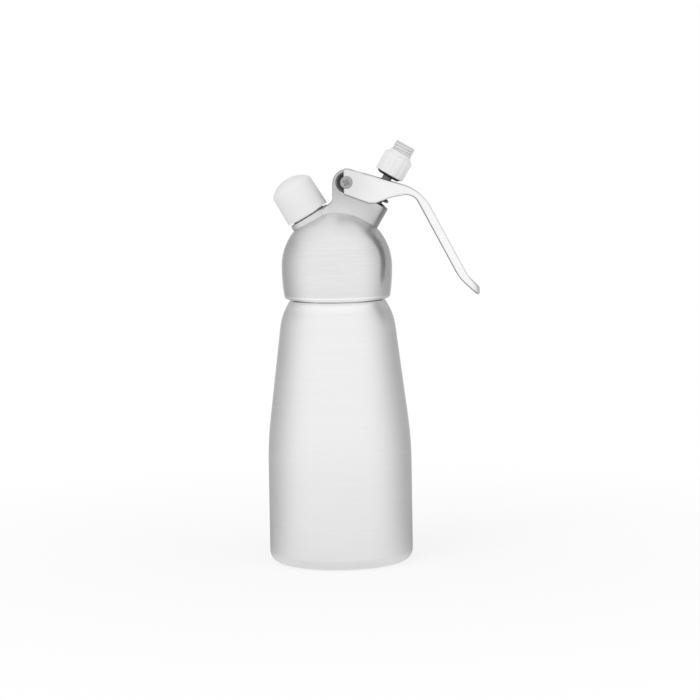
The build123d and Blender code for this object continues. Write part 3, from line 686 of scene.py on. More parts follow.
class SkinBoard(NodeBoard):
    """Nodes of a material round its own shader."""

    quarter_turn = 0.25

    def __init__(self, tree: bpy.types.NodeTree) -> None:
        """Takes over a material's tree and places its shader.

        Args:
            tree: The tree.
        """
        super().__init__(tree)
        self.shader = self.add("ShaderNodeBsdfPrincipled")
        self.show("ShaderNodeOutputMaterial", self.shader.outputs["BSDF"])

    def give(self, **values: object) -> None:
        """Gives the shader values or sockets, by input name with _ for a space."""
        for name, value in values.items():
            self.feed(self.shader.inputs[name.replace("_", " ")], value)

    def place(self, axis: PieceAxis) -> Socket:
        """Place on the surface in an axis's own coordinates.

        Args:
            axis: The axis.

        Returns:
            The socket that holds the place, in metres.
        """
        inputs = {
            "Vector": self.add("ShaderNodeTexCoord").outputs["Object"],
            "Location": [length * MM for length in axis.value.origin],
            "Rotation": axis.value.angles,
        }
        return self.add("ShaderNodeMapping", inputs, vector_type="TEXTURE").outputs["Vector"]

    def facing(self) -> Socket:
        """Way that the surface faces, in the row frame."""
        return self.add("ShaderNodeTexCoord").outputs["Normal"]

    def brushing(self, place: Socket, spacing: float, streak: float) -> Socket:
        """Height of brushed lines, fine ones mixed with broad ones."""
        lines = TurnedLines().place(self, Position=place, Spacing=spacing, Streak=streak)
        return self.blend(BAND_SHARE, lines["Lines"], lines["Bands"], MixKind.NUMBER)

    def edges(self, wear: Wear) -> bpy.types.NodeOutputs:
        """Mask and rounded normal of the rubbed edges."""
        return EdgeWear().place(self, Radius=wear.radius, Gain=wear.gain)

    def marked(self, rough: Socket, place: Socket, wear: Wear) -> Socket:
        """Roughness with the marks of hands."""
        marks = HandMarks().place(self, Position=place, Patch=wear.patch)["Mask"]
        return self.math("ADD", rough, self.math("MULTIPLY", marks, wear.change))

    def brushed_gloss(self, place: Socket, share: float) -> Socket:
        """Draws the gloss out across lines that run round Z.

        Args:
            place: Place on the surface.
            share: How far the gloss is drawn out.

        Returns:
            The normal of the turned shell.
        """
        tangent = self.add("ShaderNodeTangent", direction_type="RADIAL", axis="Z").outputs[0]
        self.give(Anisotropic=share, Anisotropic_Rotation=self.quarter_turn, Tangent=tangent)
        return TurnedNormal().place(self, Position=place, Facing=self.facing())["Normal"]

    def relief(self, height: Socket, depth: float, normal: Socket | None = None) -> None:
        """Gives the shader the relief of a height.

        Args:
            height: Height from 0 to 1.
            depth: Depth of the relief, in metres.
            normal: Normal that it starts from, where it isn't the surface's own.
        """
        bump = self.add("ShaderNodeBump", {"Height": height, "Distance": depth})
        if normal:
            self.feed(bump.inputs["Normal"], normal)
        self.give(Normal=bump.outputs["Normal"])


def new_material(name: str) -> bpy.types.Material:
    """Makes a material that has nodes.

    Args:
        name: Its name.

    Returns:
        The material.
    """
    material = bpy.data.materials.new(name)
    material.use_nodes = True
    return material


class Finish(ABC):
    """A surface finish that makes its own material. Lengths of all finishes are in metres."""

    name: str

    def material(self) -> bpy.types.Material:
        """The finish's material, built the first time that it is asked for.

        Returns:
            The material.
        """
        found = bpy.data.materials.get(self.name)
        if found:
            return found
        material = new_material(self.name)
        self.wire(SkinBoard(material.node_tree))
        return material

    def dress(self, piece: bpy.types.Object) -> None:
        """Gives the finish to a piece, in place of what it had.

        Args:
            piece: The piece.
        """
        if not piece.data.materials:
            piece.data.materials.append(None)
        for slot in piece.material_slots:
            slot.material = self.material()

    def paint_light_and_shade(self, board: SkinBoard, colour: Socket) -> Socket:
        """Colour with painted light or shade on it, which is nothing on a plain finish."""
        return colour

    @abstractmethod
    def wire(self, board: SkinBoard) -> None:
        """Wires the material.

        Args:
            board: The material's nodes.
        """


@dataclass(frozen=True)
class BrushedMetal(Finish):
    """Metal with lines round an axis, for brushed shells and turned parts.

    Attributes:
        name: Name of the material.
        axis: Axis that the lines run round.
        tone: Brightness of the metal.
        contrast: Share by which the lines change it.
        roughness: Mean roughness.
        spacing: Distance between the broader lines.
        streak: Length of a line.
        depth: Depth of the lines.
        anisotropy: How far the gloss is drawn out across the lines.
        spread: Share by which the lines change the roughness.
        wear: Its marks and edges.
    """

    name: str
    axis: PieceAxis
    tone: float
    contrast: float
    roughness: float
    spacing: float
    streak: float
    depth: float
    anisotropy: float = 0.0
    spread: float = 0.12
    wear: Wear = Wear(0.022, 0.05, 5.0, 1.08)

    def wire(self, board: SkinBoard) -> None:
        """Lays lines, marks and rubbed edges on bare metal.

        Args:
            board: The material's nodes.
        """
        place = board.place(self.axis)
        lines = board.brushing(place, self.spacing, self.streak)
        edges = board.edges(self.wear)
        edge_tone = min(self.tone * self.wear.lift, EDGE_LIMIT)
        colour = board.blend(edges["Mask"], board.shades(lines, self.tone, self.contrast), grey(edge_tone))
        rough = board.marked(board.vary(lines, self.roughness, self.spread), place, self.wear)
        board.give(Base_Color=self.paint_light_and_shade(board, colour), Roughness=rough, Metallic=METAL)
        normal = board.brushed_gloss(place, self.anisotropy) if self.anisotropy else edges["Normal"]
        board.relief(lines, self.depth, normal)


@dataclass(frozen=True)
class BottleMetal(BrushedMetal):
    """Brushed shell with a painted highlight from its shoulder up.

    Attributes:
        shoulder_highlight_tone: Brightness of the painted highlight.
        shoulder: Heights at which the painted highlight begins and is full.
    """

    shoulder_highlight_tone: float = 0.98
    shoulder: Span = (0.1275, 0.132)

    def paint_light_and_shade(self, board: SkinBoard, colour: Socket) -> Socket:
        """Paints a highlight on the shoulder."""
        # Painted highlight: the shoulder is painted brighter than the brushed shell below it.
        painted_highlight = board.remap(board.split(board.place(self.axis))[2], self.shoulder, smooth=True)
        return board.blend(painted_highlight, colour, grey(self.shoulder_highlight_tone))


@dataclass(frozen=True)
class HeadMetal(Finish):
    """Brushed dome and skirt that carry a smooth cast saddle.

    A span gives where a change begins and where it is full: crown, saddle and post as heights over the
    dome's centre, skin, proud and joint as distances past its radius, rim as heights and nozzle_end as
    distances along X. A pair of tones holds the one at the post's end and the one under the nozzle.
    """

    name: str = "head_metal"
    dome_center: float = 0.150484
    dome_radius: float = 0.028
    dome_tone: float = 0.82
    dome_roughness: float = 0.25
    dome_spread: float = 0.05
    crown: Span = (0.011, 0.021)
    # Painted light: the crown is painted lighter than the rest of the dome.
    crown_lit_tone: float = 0.88
    crown_roughness: float = 0.48
    skin: Span = (-0.0003, -0.0002)
    # Painted highlight along the skirt's lower edge, between these heights.
    rim: Span = (0.1358, 0.1366)
    rim_highlight_tone: float = 0.95
    proud: Span = (0.00004, 0.00022)
    saddle: Span = (0.004, 0.006)
    post: Span = (0.0245, 0.0395)
    nozzle_end: Span = (0.005, 0.019)
    # Painted light and shade on the saddle: each pair runs from the post's end to under the nozzle, low down
    # and high up.
    foot_light_and_shade: Span = (0.78, 0.56)
    top_light_and_shade: Span = (0.53, 0.66)
    cast_roughness: float = 0.33
    cast_spread: float = 0.06
    cast_relief: float = 0.3
    joint: Span = (0.0001, 0.0009)
    joint_shade: float = 0.36
    shade: float = 0.06
    spacing: float = 0.0011
    streak: float = 0.02
    depth: float = 0.0000015
    grain: float = 0.0005
    anisotropy: float = 0.5
    wear: Wear = Wear(0.018, 0.05, 4.0, 1.0)

    def wire(self, board: SkinBoard) -> None:
        """Mixes the two skins where the saddle stands out of the dome.

        Args:
            board: The material's nodes.
        """
        place = board.place(PieceAxis.BOTTLE)
        along, _, height = board.split(place)
        apart = board.measure("DISTANCE", place, (0.0, 0.0, self.dome_center))
        proud = board.remap(apart, shifted(self.proud, self.dome_radius))
        cast = board.math("MULTIPLY", proud, board.remap(height, shifted(self.saddle, self.dome_center)))
        crown = board.remap(height, shifted(self.crown, self.dome_center), smooth=True)
        lines = board.brushing(place, self.spacing, self.streak)
        grain = FineGrain().place(board, Position=place, Size=self.grain)
        edges = board.edges(self.wear)

        # Painted light: the dome is painted lighter towards its crown.
        dome = board.blend(crown, grey(self.dome_tone), grey(self.crown_lit_tone))
        # Painted highlight along the skirt's lower edge.
        rim = board.remap(height, self.rim, FALL, smooth=True)
        dome = board.blend(rim, board.darken(dome, lines, self.shade), grey(self.rim_highlight_tone))
        # Painted light and shade on the saddle, by place along it and by height.
        nozzle_end = board.remap(along, self.nozzle_end)
        foot = board.blend(nozzle_end, *map(grey, self.foot_light_and_shade))
        top = board.blend(nozzle_end, *map(grey, self.top_light_and_shade))
        post = board.remap(height, shifted(self.post, self.dome_center))
        saddle = board.darken(board.blend(post, foot, top), grain["Tone"], self.shade)
        joint = shifted(self.joint, self.dome_radius)
        joint = board.remap(apart, joint, (self.joint_shade, 0.0), smooth=True)
        colour = board.darken(board.blend(cast, dome, saddle), cast, joint)
        colour = board.blend(edges["Mask"], colour, grey(self.crown_lit_tone * self.wear.lift))

        rough = board.blend(crown, self.dome_roughness, self.crown_roughness, MixKind.NUMBER)
        rough = board.math("MULTIPLY", rough, board.vary(lines, 1.0, self.dome_spread))
        cast_rough = board.vary(grain["Tone"], self.cast_roughness, self.cast_spread)
        rough = board.marked(board.blend(cast, rough, cast_rough, MixKind.NUMBER), place, self.wear)
        board.give(Base_Color=colour, Roughness=rough, Metallic=METAL)

        outside = board.remap(apart, shifted(self.skin, self.dome_radius))
        plain = board.math("MULTIPLY", outside, board.math("SUBTRACT", 1.0, cast))
        turned = board.brushed_gloss(place, self.anisotropy)
        normal = board.blend(plain, edges["Normal"], turned, MixKind.VECTOR)
        fine = board.math("MULTIPLY", grain["Height"], self.cast_relief)
        board.relief(board.blend(cast, lines, fine, MixKind.NUMBER), self.depth, normal)


@dataclass(frozen=True)
class LeverMetal(Finish):
    """Bright lever whose inner faces are left rough as they were cast and carry painted shade.

    A span gives where a change begins and where it is full: fork and handle as distances from the pivot,
    and inner as how far a face looks outward, the way that the lever's back does.
    """

    name: str = "lever_bright"
    # Painted shade: the fork is painted darker near the pivot.
    fork_shade_tone: float = 0.78
    fork: Span = (0.002, 0.018)
    tone: float = 0.9
    handle: Span = (0.02, 0.05)
    # Painted light: the handle is painted lighter away from the pivot.
    handle_light_tone: float = 0.96
    roughness: float = 0.26
    spread: float = 0.06
    shade: float = 0.04
    outward: Point = (0.66, 0.0, 0.75)
    inner: Span = (-0.7, -0.3)
    # Painted shade on the inner faces, over the grain of their rough skin.
    inner_shade_tone: float = 0.42
    inner_contrast: float = 0.08
    inner_roughness: float = 0.45
    grain: float = 0.0006
    depth: float = 0.000008
    wear: Wear = Wear(0.012, 0.03, 1.0, 1.05, 0.002)

    def wire(self, board: SkinBoard) -> None:
        """Mixes the two skins by the way that a face looks.

        Args:
            board: The material's nodes.
        """
        place = board.place(PieceAxis.BOTTLE)
        inner = board.measure("DOT_PRODUCT", board.facing(), self.outward)
        inner = board.remap(inner, self.inner, FALL, smooth=True)
        grain = FineGrain().place(board, Position=place, Size=self.grain)
        edges = board.edges(self.wear)
        reach = board.from_axis(board.place(PieceAxis.PIVOT))
        fork, handle = (board.remap(reach, span, smooth=True) for span in (self.fork, self.handle))
        # Painted shade near the pivot and painted light along the handle.
        bright = board.blend(handle, grey(self.tone), grey(self.handle_light_tone))
        bright = board.blend(fork, grey(self.fork_shade_tone), bright)
        bright = board.darken(bright, grain["Tone"], self.shade)
        bright = board.blend(edges["Mask"], bright, grey(self.tone * self.wear.lift))
        # Inner faces: painted shade with the grain in it.
        cast = board.shades(grain["Height"], self.inner_shade_tone, self.inner_contrast)
        rough = board.marked(board.vary(grain["Tone"], self.roughness, self.spread), place, self.wear)
        rough = board.blend(inner, rough, self.inner_roughness, MixKind.NUMBER)
        board.give(Base_Color=board.blend(inner, bright, cast), Roughness=rough, Metallic=METAL)
        board.relief(grain["Tone"], self.depth, edges["Normal"])


@dataclass(frozen=True)
class MouldedPlastic(Finish):
    """Moulded plastic or rubber with a faint skin.

    The contrast is the brightness at the grain's darkest and brightest, against the tone, and the glow is
    the share of light that passes under the skin. A waved skin takes its relief from the grain's broad part
    and its roughness from the fine one.
    """

    name: str
    tone: float
    roughness: float
    grain: float = 0.0009
    depth: float = 0.0000005
    glow: float = 0.0
    glow_depth: float = 0.0012
    contrast: Span = (0.975, 1.015)
    spread: float = 0.08
    metallic: float = 0.0
    waved: bool = False
    wear: Wear = Wear(0.015, -0.06, 2.0, 1.03)

    def wire(self, board: SkinBoard) -> None:
        """Lays a grained skin with slightly rubbed edges.

        Args:
            board: The material's nodes.
        """
        place = board.place(PieceAxis.BOTTLE)
        grain = FineGrain().place(board, Position=place, Size=self.grain)
        fine, broad = grain["Height"], grain["Tone"]
        colour = board.blend(broad, *(grey(self.tone * share) for share in self.contrast))
        colour = board.blend(board.edges(self.wear)["Mask"], colour, grey(self.tone * self.wear.lift))
        rough = board.vary(fine if self.waved else broad, self.roughness, self.spread)
        rough = board.marked(rough, place, self.wear)
        board.give(Base_Color=self.paint_light_and_shade(board, colour), Roughness=rough, Metallic=self.metallic)
        if self.glow:
            board.give(Subsurface_Weight=self.glow, Subsurface_Scale=self.glow_depth)
            board.give(Subsurface_Radius=(1.0, 1.0, 1.0))
        board.relief(broad if self.waved else fine, self.depth)


@dataclass(frozen=True)
class DrawnWire(MouldedPlastic):
    """Metal wire whose drawn skin has a fine grain on faint waves."""

    grain: float = 0.0002
    depth: float = 0.000003
    contrast: Span = (0.98, 1.02)
    spread: float = 0.12
    metallic: float = METAL
    waved: bool = True
    wear: Wear = Wear(0.012, 0.06, 3.0, 1.05)


@dataclass(frozen=True)
class SpoutPlastic(MouldedPlastic):
    """White plastic with painted shade on its threaded end, deepest in the thread's root.

    Attributes:
        crest_shade_tone: Brightness of the painted shade on the thread's crest.
        root_shade_tone: Brightness of the painted shade in its root.
        end: Distances from the dome's centre at which the end begins and is full.
        depths: Radius of the thread's root and of its crest.
    """

    crest_shade_tone: float = 0.8
    root_shade_tone: float = 0.62
    end: Span = (0.0649, 0.0655)
    depths: Span = (0.00495, 0.0054)

    def paint_light_and_shade(self, board: SkinBoard, colour: Socket) -> Socket:
        """Paints shade on the threaded end.

        Args:
            board: The material's nodes.
            colour: Colour of the plain plastic.

        Returns:
            The socket that holds the colour.
        """
        # Painted shade: the thread is greyed, darkest in its root.
        place = board.place(PieceAxis.NOZZLE)
        height = board.remap(board.from_axis(place), self.depths)
        end = board.remap(board.split(place)[2], self.end, smooth=True)
        return board.blend(end, colour, board.blend(height, grey(self.root_shade_tone), grey(self.crest_shade_tone)))


class Finishes:
    """The finishes of this object."""

    BOTTLE = BottleMetal("bottle_brushed", PieceAxis.BOTTLE, 0.88, 0.02, 0.38, 0.0009, 0.02, 0.000003, 0.4)
    HEAD = HeadMetal()
    LEVER = LeverMetal()
    SCREW = BrushedMetal("screw_turned", PieceAxis.PIVOT, 0.42, 0.08, 0.42, 0.0003, 0.003, 0.000006)
    INLET_STEEL = BrushedMetal("inlet_turned", PieceAxis.INLET, 0.66, 0.06, 0.3, 0.0004, 0.006, 0.000006)
    VALVE_STEEL = BrushedMetal("valve_turned", PieceAxis.NOZZLE, 0.6, 0.06, 0.3, 0.0004, 0.006, 0.000006)
    # Painted shade: the valve's turned steel made dark for the stem and poppet.
    STEM_STEEL_SHADED = BrushedMetal("stem_turned_shaded", PieceAxis.NOZZLE, 0.16, 0.08, 0.32, 0.0004, 0.006, 0.000006)
    # Painted shade: the spring wire is made dark for the shade that it sits in.
    SPRING_SHADED = DrawnWire("wire_drawn_shaded", 0.24, 0.3)
    WHITE = MouldedPlastic("white_moulded", 0.86, 0.42, glow=0.08)
    SPOUT = SpoutPlastic("spout_moulded", 0.88, 0.42, glow=0.08)
    # Black plastic, dark enough to also paint the shade in the pivot's pockets.
    BUSH = MouldedPlastic("bush_moulded", 0.03, 0.45)
    RUBBER = MouldedPlastic("rubber_moulded", 0.022, 0.55, grain=0.0006)


class SubAssembly(ABC):
    """A group of pieces that belong together. Lengths of all of them are in millimetres."""

    @staticmethod
    def coat(finish: Finish, *names: str) -> None:
        """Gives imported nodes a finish.

        Args:
            finish: The finish.
            names: Names of the nodes.
        """
        for name in names:
            finish.dress(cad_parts[name])
            log.info("%s: packed node finished as %s", name, finish.name)

    @staticmethod
    def seat(piece: bpy.types.Object, body: str, slot: str, finish: Finish, *stands_for: str) -> None:
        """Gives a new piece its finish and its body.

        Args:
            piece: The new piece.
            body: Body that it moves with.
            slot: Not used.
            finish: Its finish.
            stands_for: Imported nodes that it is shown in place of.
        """
        finish.dress(piece)
        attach(piece, body)
        if stands_for:
            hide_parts(*stands_for)
        log.info("%s: %d faces on body %s", piece.name, len(piece.data.polygons), body)

    @abstractmethod
    def build(self) -> None:
        """Builds the pieces that are made here."""

    @abstractmethod
    def dress(self) -> None:
        """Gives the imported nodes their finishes."""


@dataclass
class Bottle(SubAssembly):
    """Brushed bottle with a threaded neck."""

    thread: Thread = Thread(21.0, 22.05, 3.0, 136.2, 144.6, 1.2)

    def build(self) -> None:
        """Makes the ridge of the neck's thread."""
        ridge = ThreadRidge(self.thread).build("neck_thread")
        self.seat(ridge, "bottle", "bottle_aluminium", Finishes.BOTTLE)

    def dress(self) -> None:
        """Brushes the bottle."""
        self.coat(Finishes.BOTTLE, "bottle")


@dataclass
class Head(SubAssembly):
    """Domed head with a threaded skirt."""

    thread: Thread = Thread(22.5, 21.45, 3.0, 134.7, 144.8, 1.2)

    def build(self) -> None:
        """Makes the ridge of the skirt's thread, half a pitch from the neck's."""
        ridge = ThreadRidge(self.thread).build("skirt_thread")
        self.seat(ridge, "head", "head_aluminium", Finishes.HEAD)

    def dress(self) -> None:
        """Finishes the casting and its gasket."""
        self.coat(Finishes.HEAD, "head")
        self.coat(Finishes.RUBBER, "head_gasket")


@dataclass
class ChargerInlet(SubAssembly):
    """Threaded stub with its piercing parts and cap, stations along the inlet's axis."""

    carrier_bore: float = 4.65
    socket_radius: float = 6.2
    spigot_radius: float = 7.0
    relief_radius: float = 8.6
    spigot_floor: float = 22.973
    face: float = 26.783
    relief_top: float = 28.483
    relief_slope: float = 0.2
    socket_floor: float = 30.973
    stub_top: float = 41.973
    thread: Thread = Thread(8.95, 9.6, 1.8, 29.1, 41.4, 1.0)
    corner: float = 0.35
    row_step: float = 0.15
    segments: int = 160

    def build(self) -> None:
        """Makes the stub with its thread."""
        corners = [
            (self.carrier_bore, self.socket_floor),
            (self.carrier_bore, self.spigot_floor),
            (self.spigot_radius, self.spigot_floor),
            (self.spigot_radius, self.face),
            (self.relief_radius, self.face),
            (self.relief_radius, self.relief_top),
            (self.thread.root, self.relief_top + self.relief_slope),
            (self.thread.root, self.stub_top),
            (self.socket_radius, self.stub_top),
            (self.socket_radius, self.socket_floor),
        ]
        shape = MeshShape("threaded_stub", PieceAxis.INLET)
        outline = self.thread.outline(corners, self.corner, self.row_step)
        shape.turned(outline, self.segments, self.thread.reach)
        self.seat(shape.build(), "head", "inner_steel", Finishes.INLET_STEEL, "inlet_stub")

    def dress(self) -> None:
        """Finishes the cap and the parts inside."""
        self.coat(Finishes.WHITE, "inlet_cap")
        self.coat(Finishes.INLET_STEEL, "pin_carrier", "piercing_pin")
        self.coat(Finishes.RUBBER, "inlet_seal", "check_valve_sleeve")


@dataclass
class Pivot(SubAssembly):
    """Cross-recessed screw, sleeve nut and bushes, stations from the post's middle towards the viewer.

    The head's rounding begins at rim_start, a share of its radius. An arm of the recess slopes over
    recess_end at its tip, and over recess_side, counted from half its width, at its flanks.
    """

    core_radius: float = 1.2
    core_edge: float = 0.25
    screw_end: float = -10.6
    head_radius: float = 3.1
    head_edge: float = 0.15
    head_seat: float = 10.9
    head_top: float = 12.7
    crown: float = 0.55
    rim: float = 0.5
    rim_start: float = 0.78
    recess_reach: float = 1.75
    recess_end: float = 0.25
    recess_width: float = 0.9
    recess_side: Span = (-0.1, 0.06)
    recess_depth: float = 1.0
    recess_turn: float = 22.0
    segments: int = 112
    rings: int = 34
    ring_power: float = 0.8

    def build(self) -> None:
        """Makes the screw with a crowned, recessed head."""
        angles = round_angles(self.segments)
        under = [
            (0.0, self.screw_end),
            (self.core_radius - self.core_edge, self.screw_end),
            (self.core_radius, self.screw_end + self.core_edge),
            (self.core_radius, self.head_seat),
            (self.head_radius - self.head_edge, self.head_seat),
            (self.head_radius, self.head_seat + self.head_edge),
        ]
        rows = [[polar(radius, angle, station) for angle in angles] for radius, station in under]
        for ring in range(self.rings + 1):
            radius = self.head_radius * math.cos(math.pi / 2 * ring / self.rings) ** self.ring_power
            rows.append([polar(radius, angle, self.height(radius, angle)) for angle in angles])
        shape = MeshShape("cross_screw", PieceAxis.PIVOT)
        shape.skin(rows)
        self.seat(shape.build(), "head", "screw_steel", Finishes.SCREW, "pivot_screw")

    def height(self, radius: float, angle: float) -> float:
        """Station of the head's crowned face, sunk where the recess is.

        Args:
            radius: Distance from the axis.
            angle: Angle about it.

        Returns:
            The station.
        """
        share = radius / self.head_radius
        edge = self.rim * (1 - math.sqrt(max(0.0, 1 - smooth_step(self.rim_start, 1.0, share) ** 2)))
        face = self.head_top - self.crown * share**2 - edge
        turned = angle + math.radians(self.recess_turn)
        across, up = abs(radius * math.cos(turned)), abs(radius * math.sin(turned))
        side = shifted(self.recess_side, self.recess_width / 2)
        arms = [
            (1 - smooth_step(self.recess_reach - self.recess_end, self.recess_reach, far))
            * (1 - smooth_step(*side, near))
            for far, near in ((across, up), (up, across))
        ]
        return face - self.recess_depth * max(arms)

    def dress(self) -> None:
        """Finishes the sleeve nut and the bushes."""
        self.coat(Finishes.SCREW, "pivot_sleeve")
        self.coat(Finishes.BUSH, "pivot_bushes")


@dataclass
class SqueezeLever(SubAssembly):
    """Bent lever with a forked front end."""

    def build(self) -> None:
        """Nothing is made here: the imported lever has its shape."""

    def dress(self) -> None:
        """Finishes the lever."""
        self.coat(Finishes.LEVER, "lever")


@dataclass
class NozzleValve(SubAssembly):
    """Stem, poppet, guide and spring, stations along the nozzle's axis."""

    spring_floor: float = 34.897
    spring_roof: float = 44.908
    travel: float = 3.1
    wire_radius: float = 0.6
    mean_radius: float = 6.1
    end_turns: float = 0.75
    end_pitch: float = 1.22
    ground_share: float = 0.8
    end_gap: float = 0.01
    active_turns: float = 2.25
    start_turn: float = -0.187
    wire_segments: int = 16
    turn_segments: int = 56

    def build(self) -> None:
        """Winds the spring with closed and ground ends."""
        low = self.spring_floor + self.wire_radius * self.ground_share
        high = self.spring_roof - self.wire_radius * self.ground_share
        rise = (high - low - 2 * self.end_turns * self.end_pitch) / self.active_turns
        turns = self.active_turns + 2 * self.end_turns
        count = round(turns * self.turn_segments)
        rows = []
        for index in range(count + 1):
            turn = turns * index / count
            active = min(max(turn - self.end_turns, 0.0), self.active_turns)
            station = low + self.end_pitch * (turn - active) + rise * active
            rows.append(self.section(FULL_TURN * (turn + self.start_turn), station))
        shape = MeshShape("coil_spring", PieceAxis.NOZZLE)
        shape.skin(rows, ends=True)
        spring = shape.build()
        self.seat(spring, "head", "spring_steel", Finishes.SPRING_SHADED, "valve_spring")
        axis = PieceAxis.NOZZLE.value
        anchor = axis.point(self.spring_floor)
        axis.direction()
        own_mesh(spring)

    def section(self, angle: float, station: float) -> list[Vector]:
        """Round section of the wire, ground flat at the spring's two ends.

        Args:
            angle: Angle about the axis.
            station: Station of the wire's middle.

        Returns:
            The section's points.
        """
        points = []
        for around in round_angles(self.wire_segments):
            radius = self.mean_radius + self.wire_radius * math.cos(around)
            height = station + self.wire_radius * math.sin(around)
            height = min(max(height, self.spring_floor + self.end_gap), self.spring_roof - self.end_gap)
            points.append(polar(radius, angle, height))
        return points

    def dress(self) -> None:
        """Finishes the stem and what is round it."""
        self.coat(Finishes.STEM_STEEL_SHADED, "valve_stem", "valve_poppet")
        self.coat(Finishes.VALVE_STEEL, "spring_seat", "spring_washer")
        self.coat(Finishes.RUBBER, "poppet_seal", "stem_o_ring")
        self.coat(Finishes.BUSH, "guide_bush")


@dataclass
class NozzleAdapter(SubAssembly):
    """Fluted white nut with a threaded spout, stations along the nozzle's axis."""

    bore_radius: float = 2.45
    bore_top: float = 62.361
    passage_radius: float = 1.6
    floor: float = 53.311
    body_radius: float = 7.6
    edge: float = 0.5
    body_top: float = 63.311
    shoulder_radius: float = 6.1
    shoulder_rise: float = 0.9
    collar_radius: float = 5.6
    collar_floor: float = 64.911
    collar_height: float = 0.9
    top: float = 70.511
    flutes: int = 12
    flute_radius: float = 2.0
    flute_depth: float = 0.4
    thread: Thread = Thread(4.95, 5.4, 1.4, 65.95, 70.2, 0.3)
    corner: float = 0.3
    row_step: float = 0.1
    segments: int = 288

    def build(self) -> None:
        """Makes the fluted body and the helical thread."""
        corners = [
            (self.bore_radius, self.bore_top),
            (self.bore_radius, self.floor),
            (self.body_radius - self.edge, self.floor),
            (self.body_radius, self.floor + self.edge),
            (self.body_radius, self.body_top),
            (self.shoulder_radius, self.body_top + self.shoulder_rise),
            (self.collar_radius, self.collar_floor),
            (self.collar_radius, self.collar_floor + self.collar_height),
            (self.thread.root, self.thread.start),
            (self.thread.root, self.top),
            (self.passage_radius, self.top),
            (self.passage_radius, self.bore_top),
        ]
        shape = MeshShape("fluted_adapter", PieceAxis.NOZZLE)
        shape.turned(self.thread.outline(corners, self.corner, self.row_step), self.segments, self.reach)
        self.seat(shape.build(), "stem", "white_plastic", Finishes.SPOUT, "nozzle_adapter")

    def reach(self, radius: float, station: float, angle: float) -> float:
        """Radius of the adapter's surface, with flutes below and the thread above.

        Args:
            radius: Radius of the plain outline.
            station: Station along the axis.
            angle: Angle about it.

        Returns:
            The radius there.
        """
        pitch = FULL_TURN / self.flutes
        away = (angle + pitch / 2) % pitch - pitch / 2
        center = self.body_radius + self.flute_radius - self.flute_depth
        under = self.flute_radius**2 - (center * math.sin(away)) ** 2
        if radius == self.thread.root or under <= 0:
            return self.thread.reach(radius, station, angle)
        return min(radius, center * math.cos(away) - math.sqrt(under))

    def dress(self) -> None:
        """Finishes the seal under the adapter."""
        self.coat(Finishes.RUBBER, "adapter_seal")


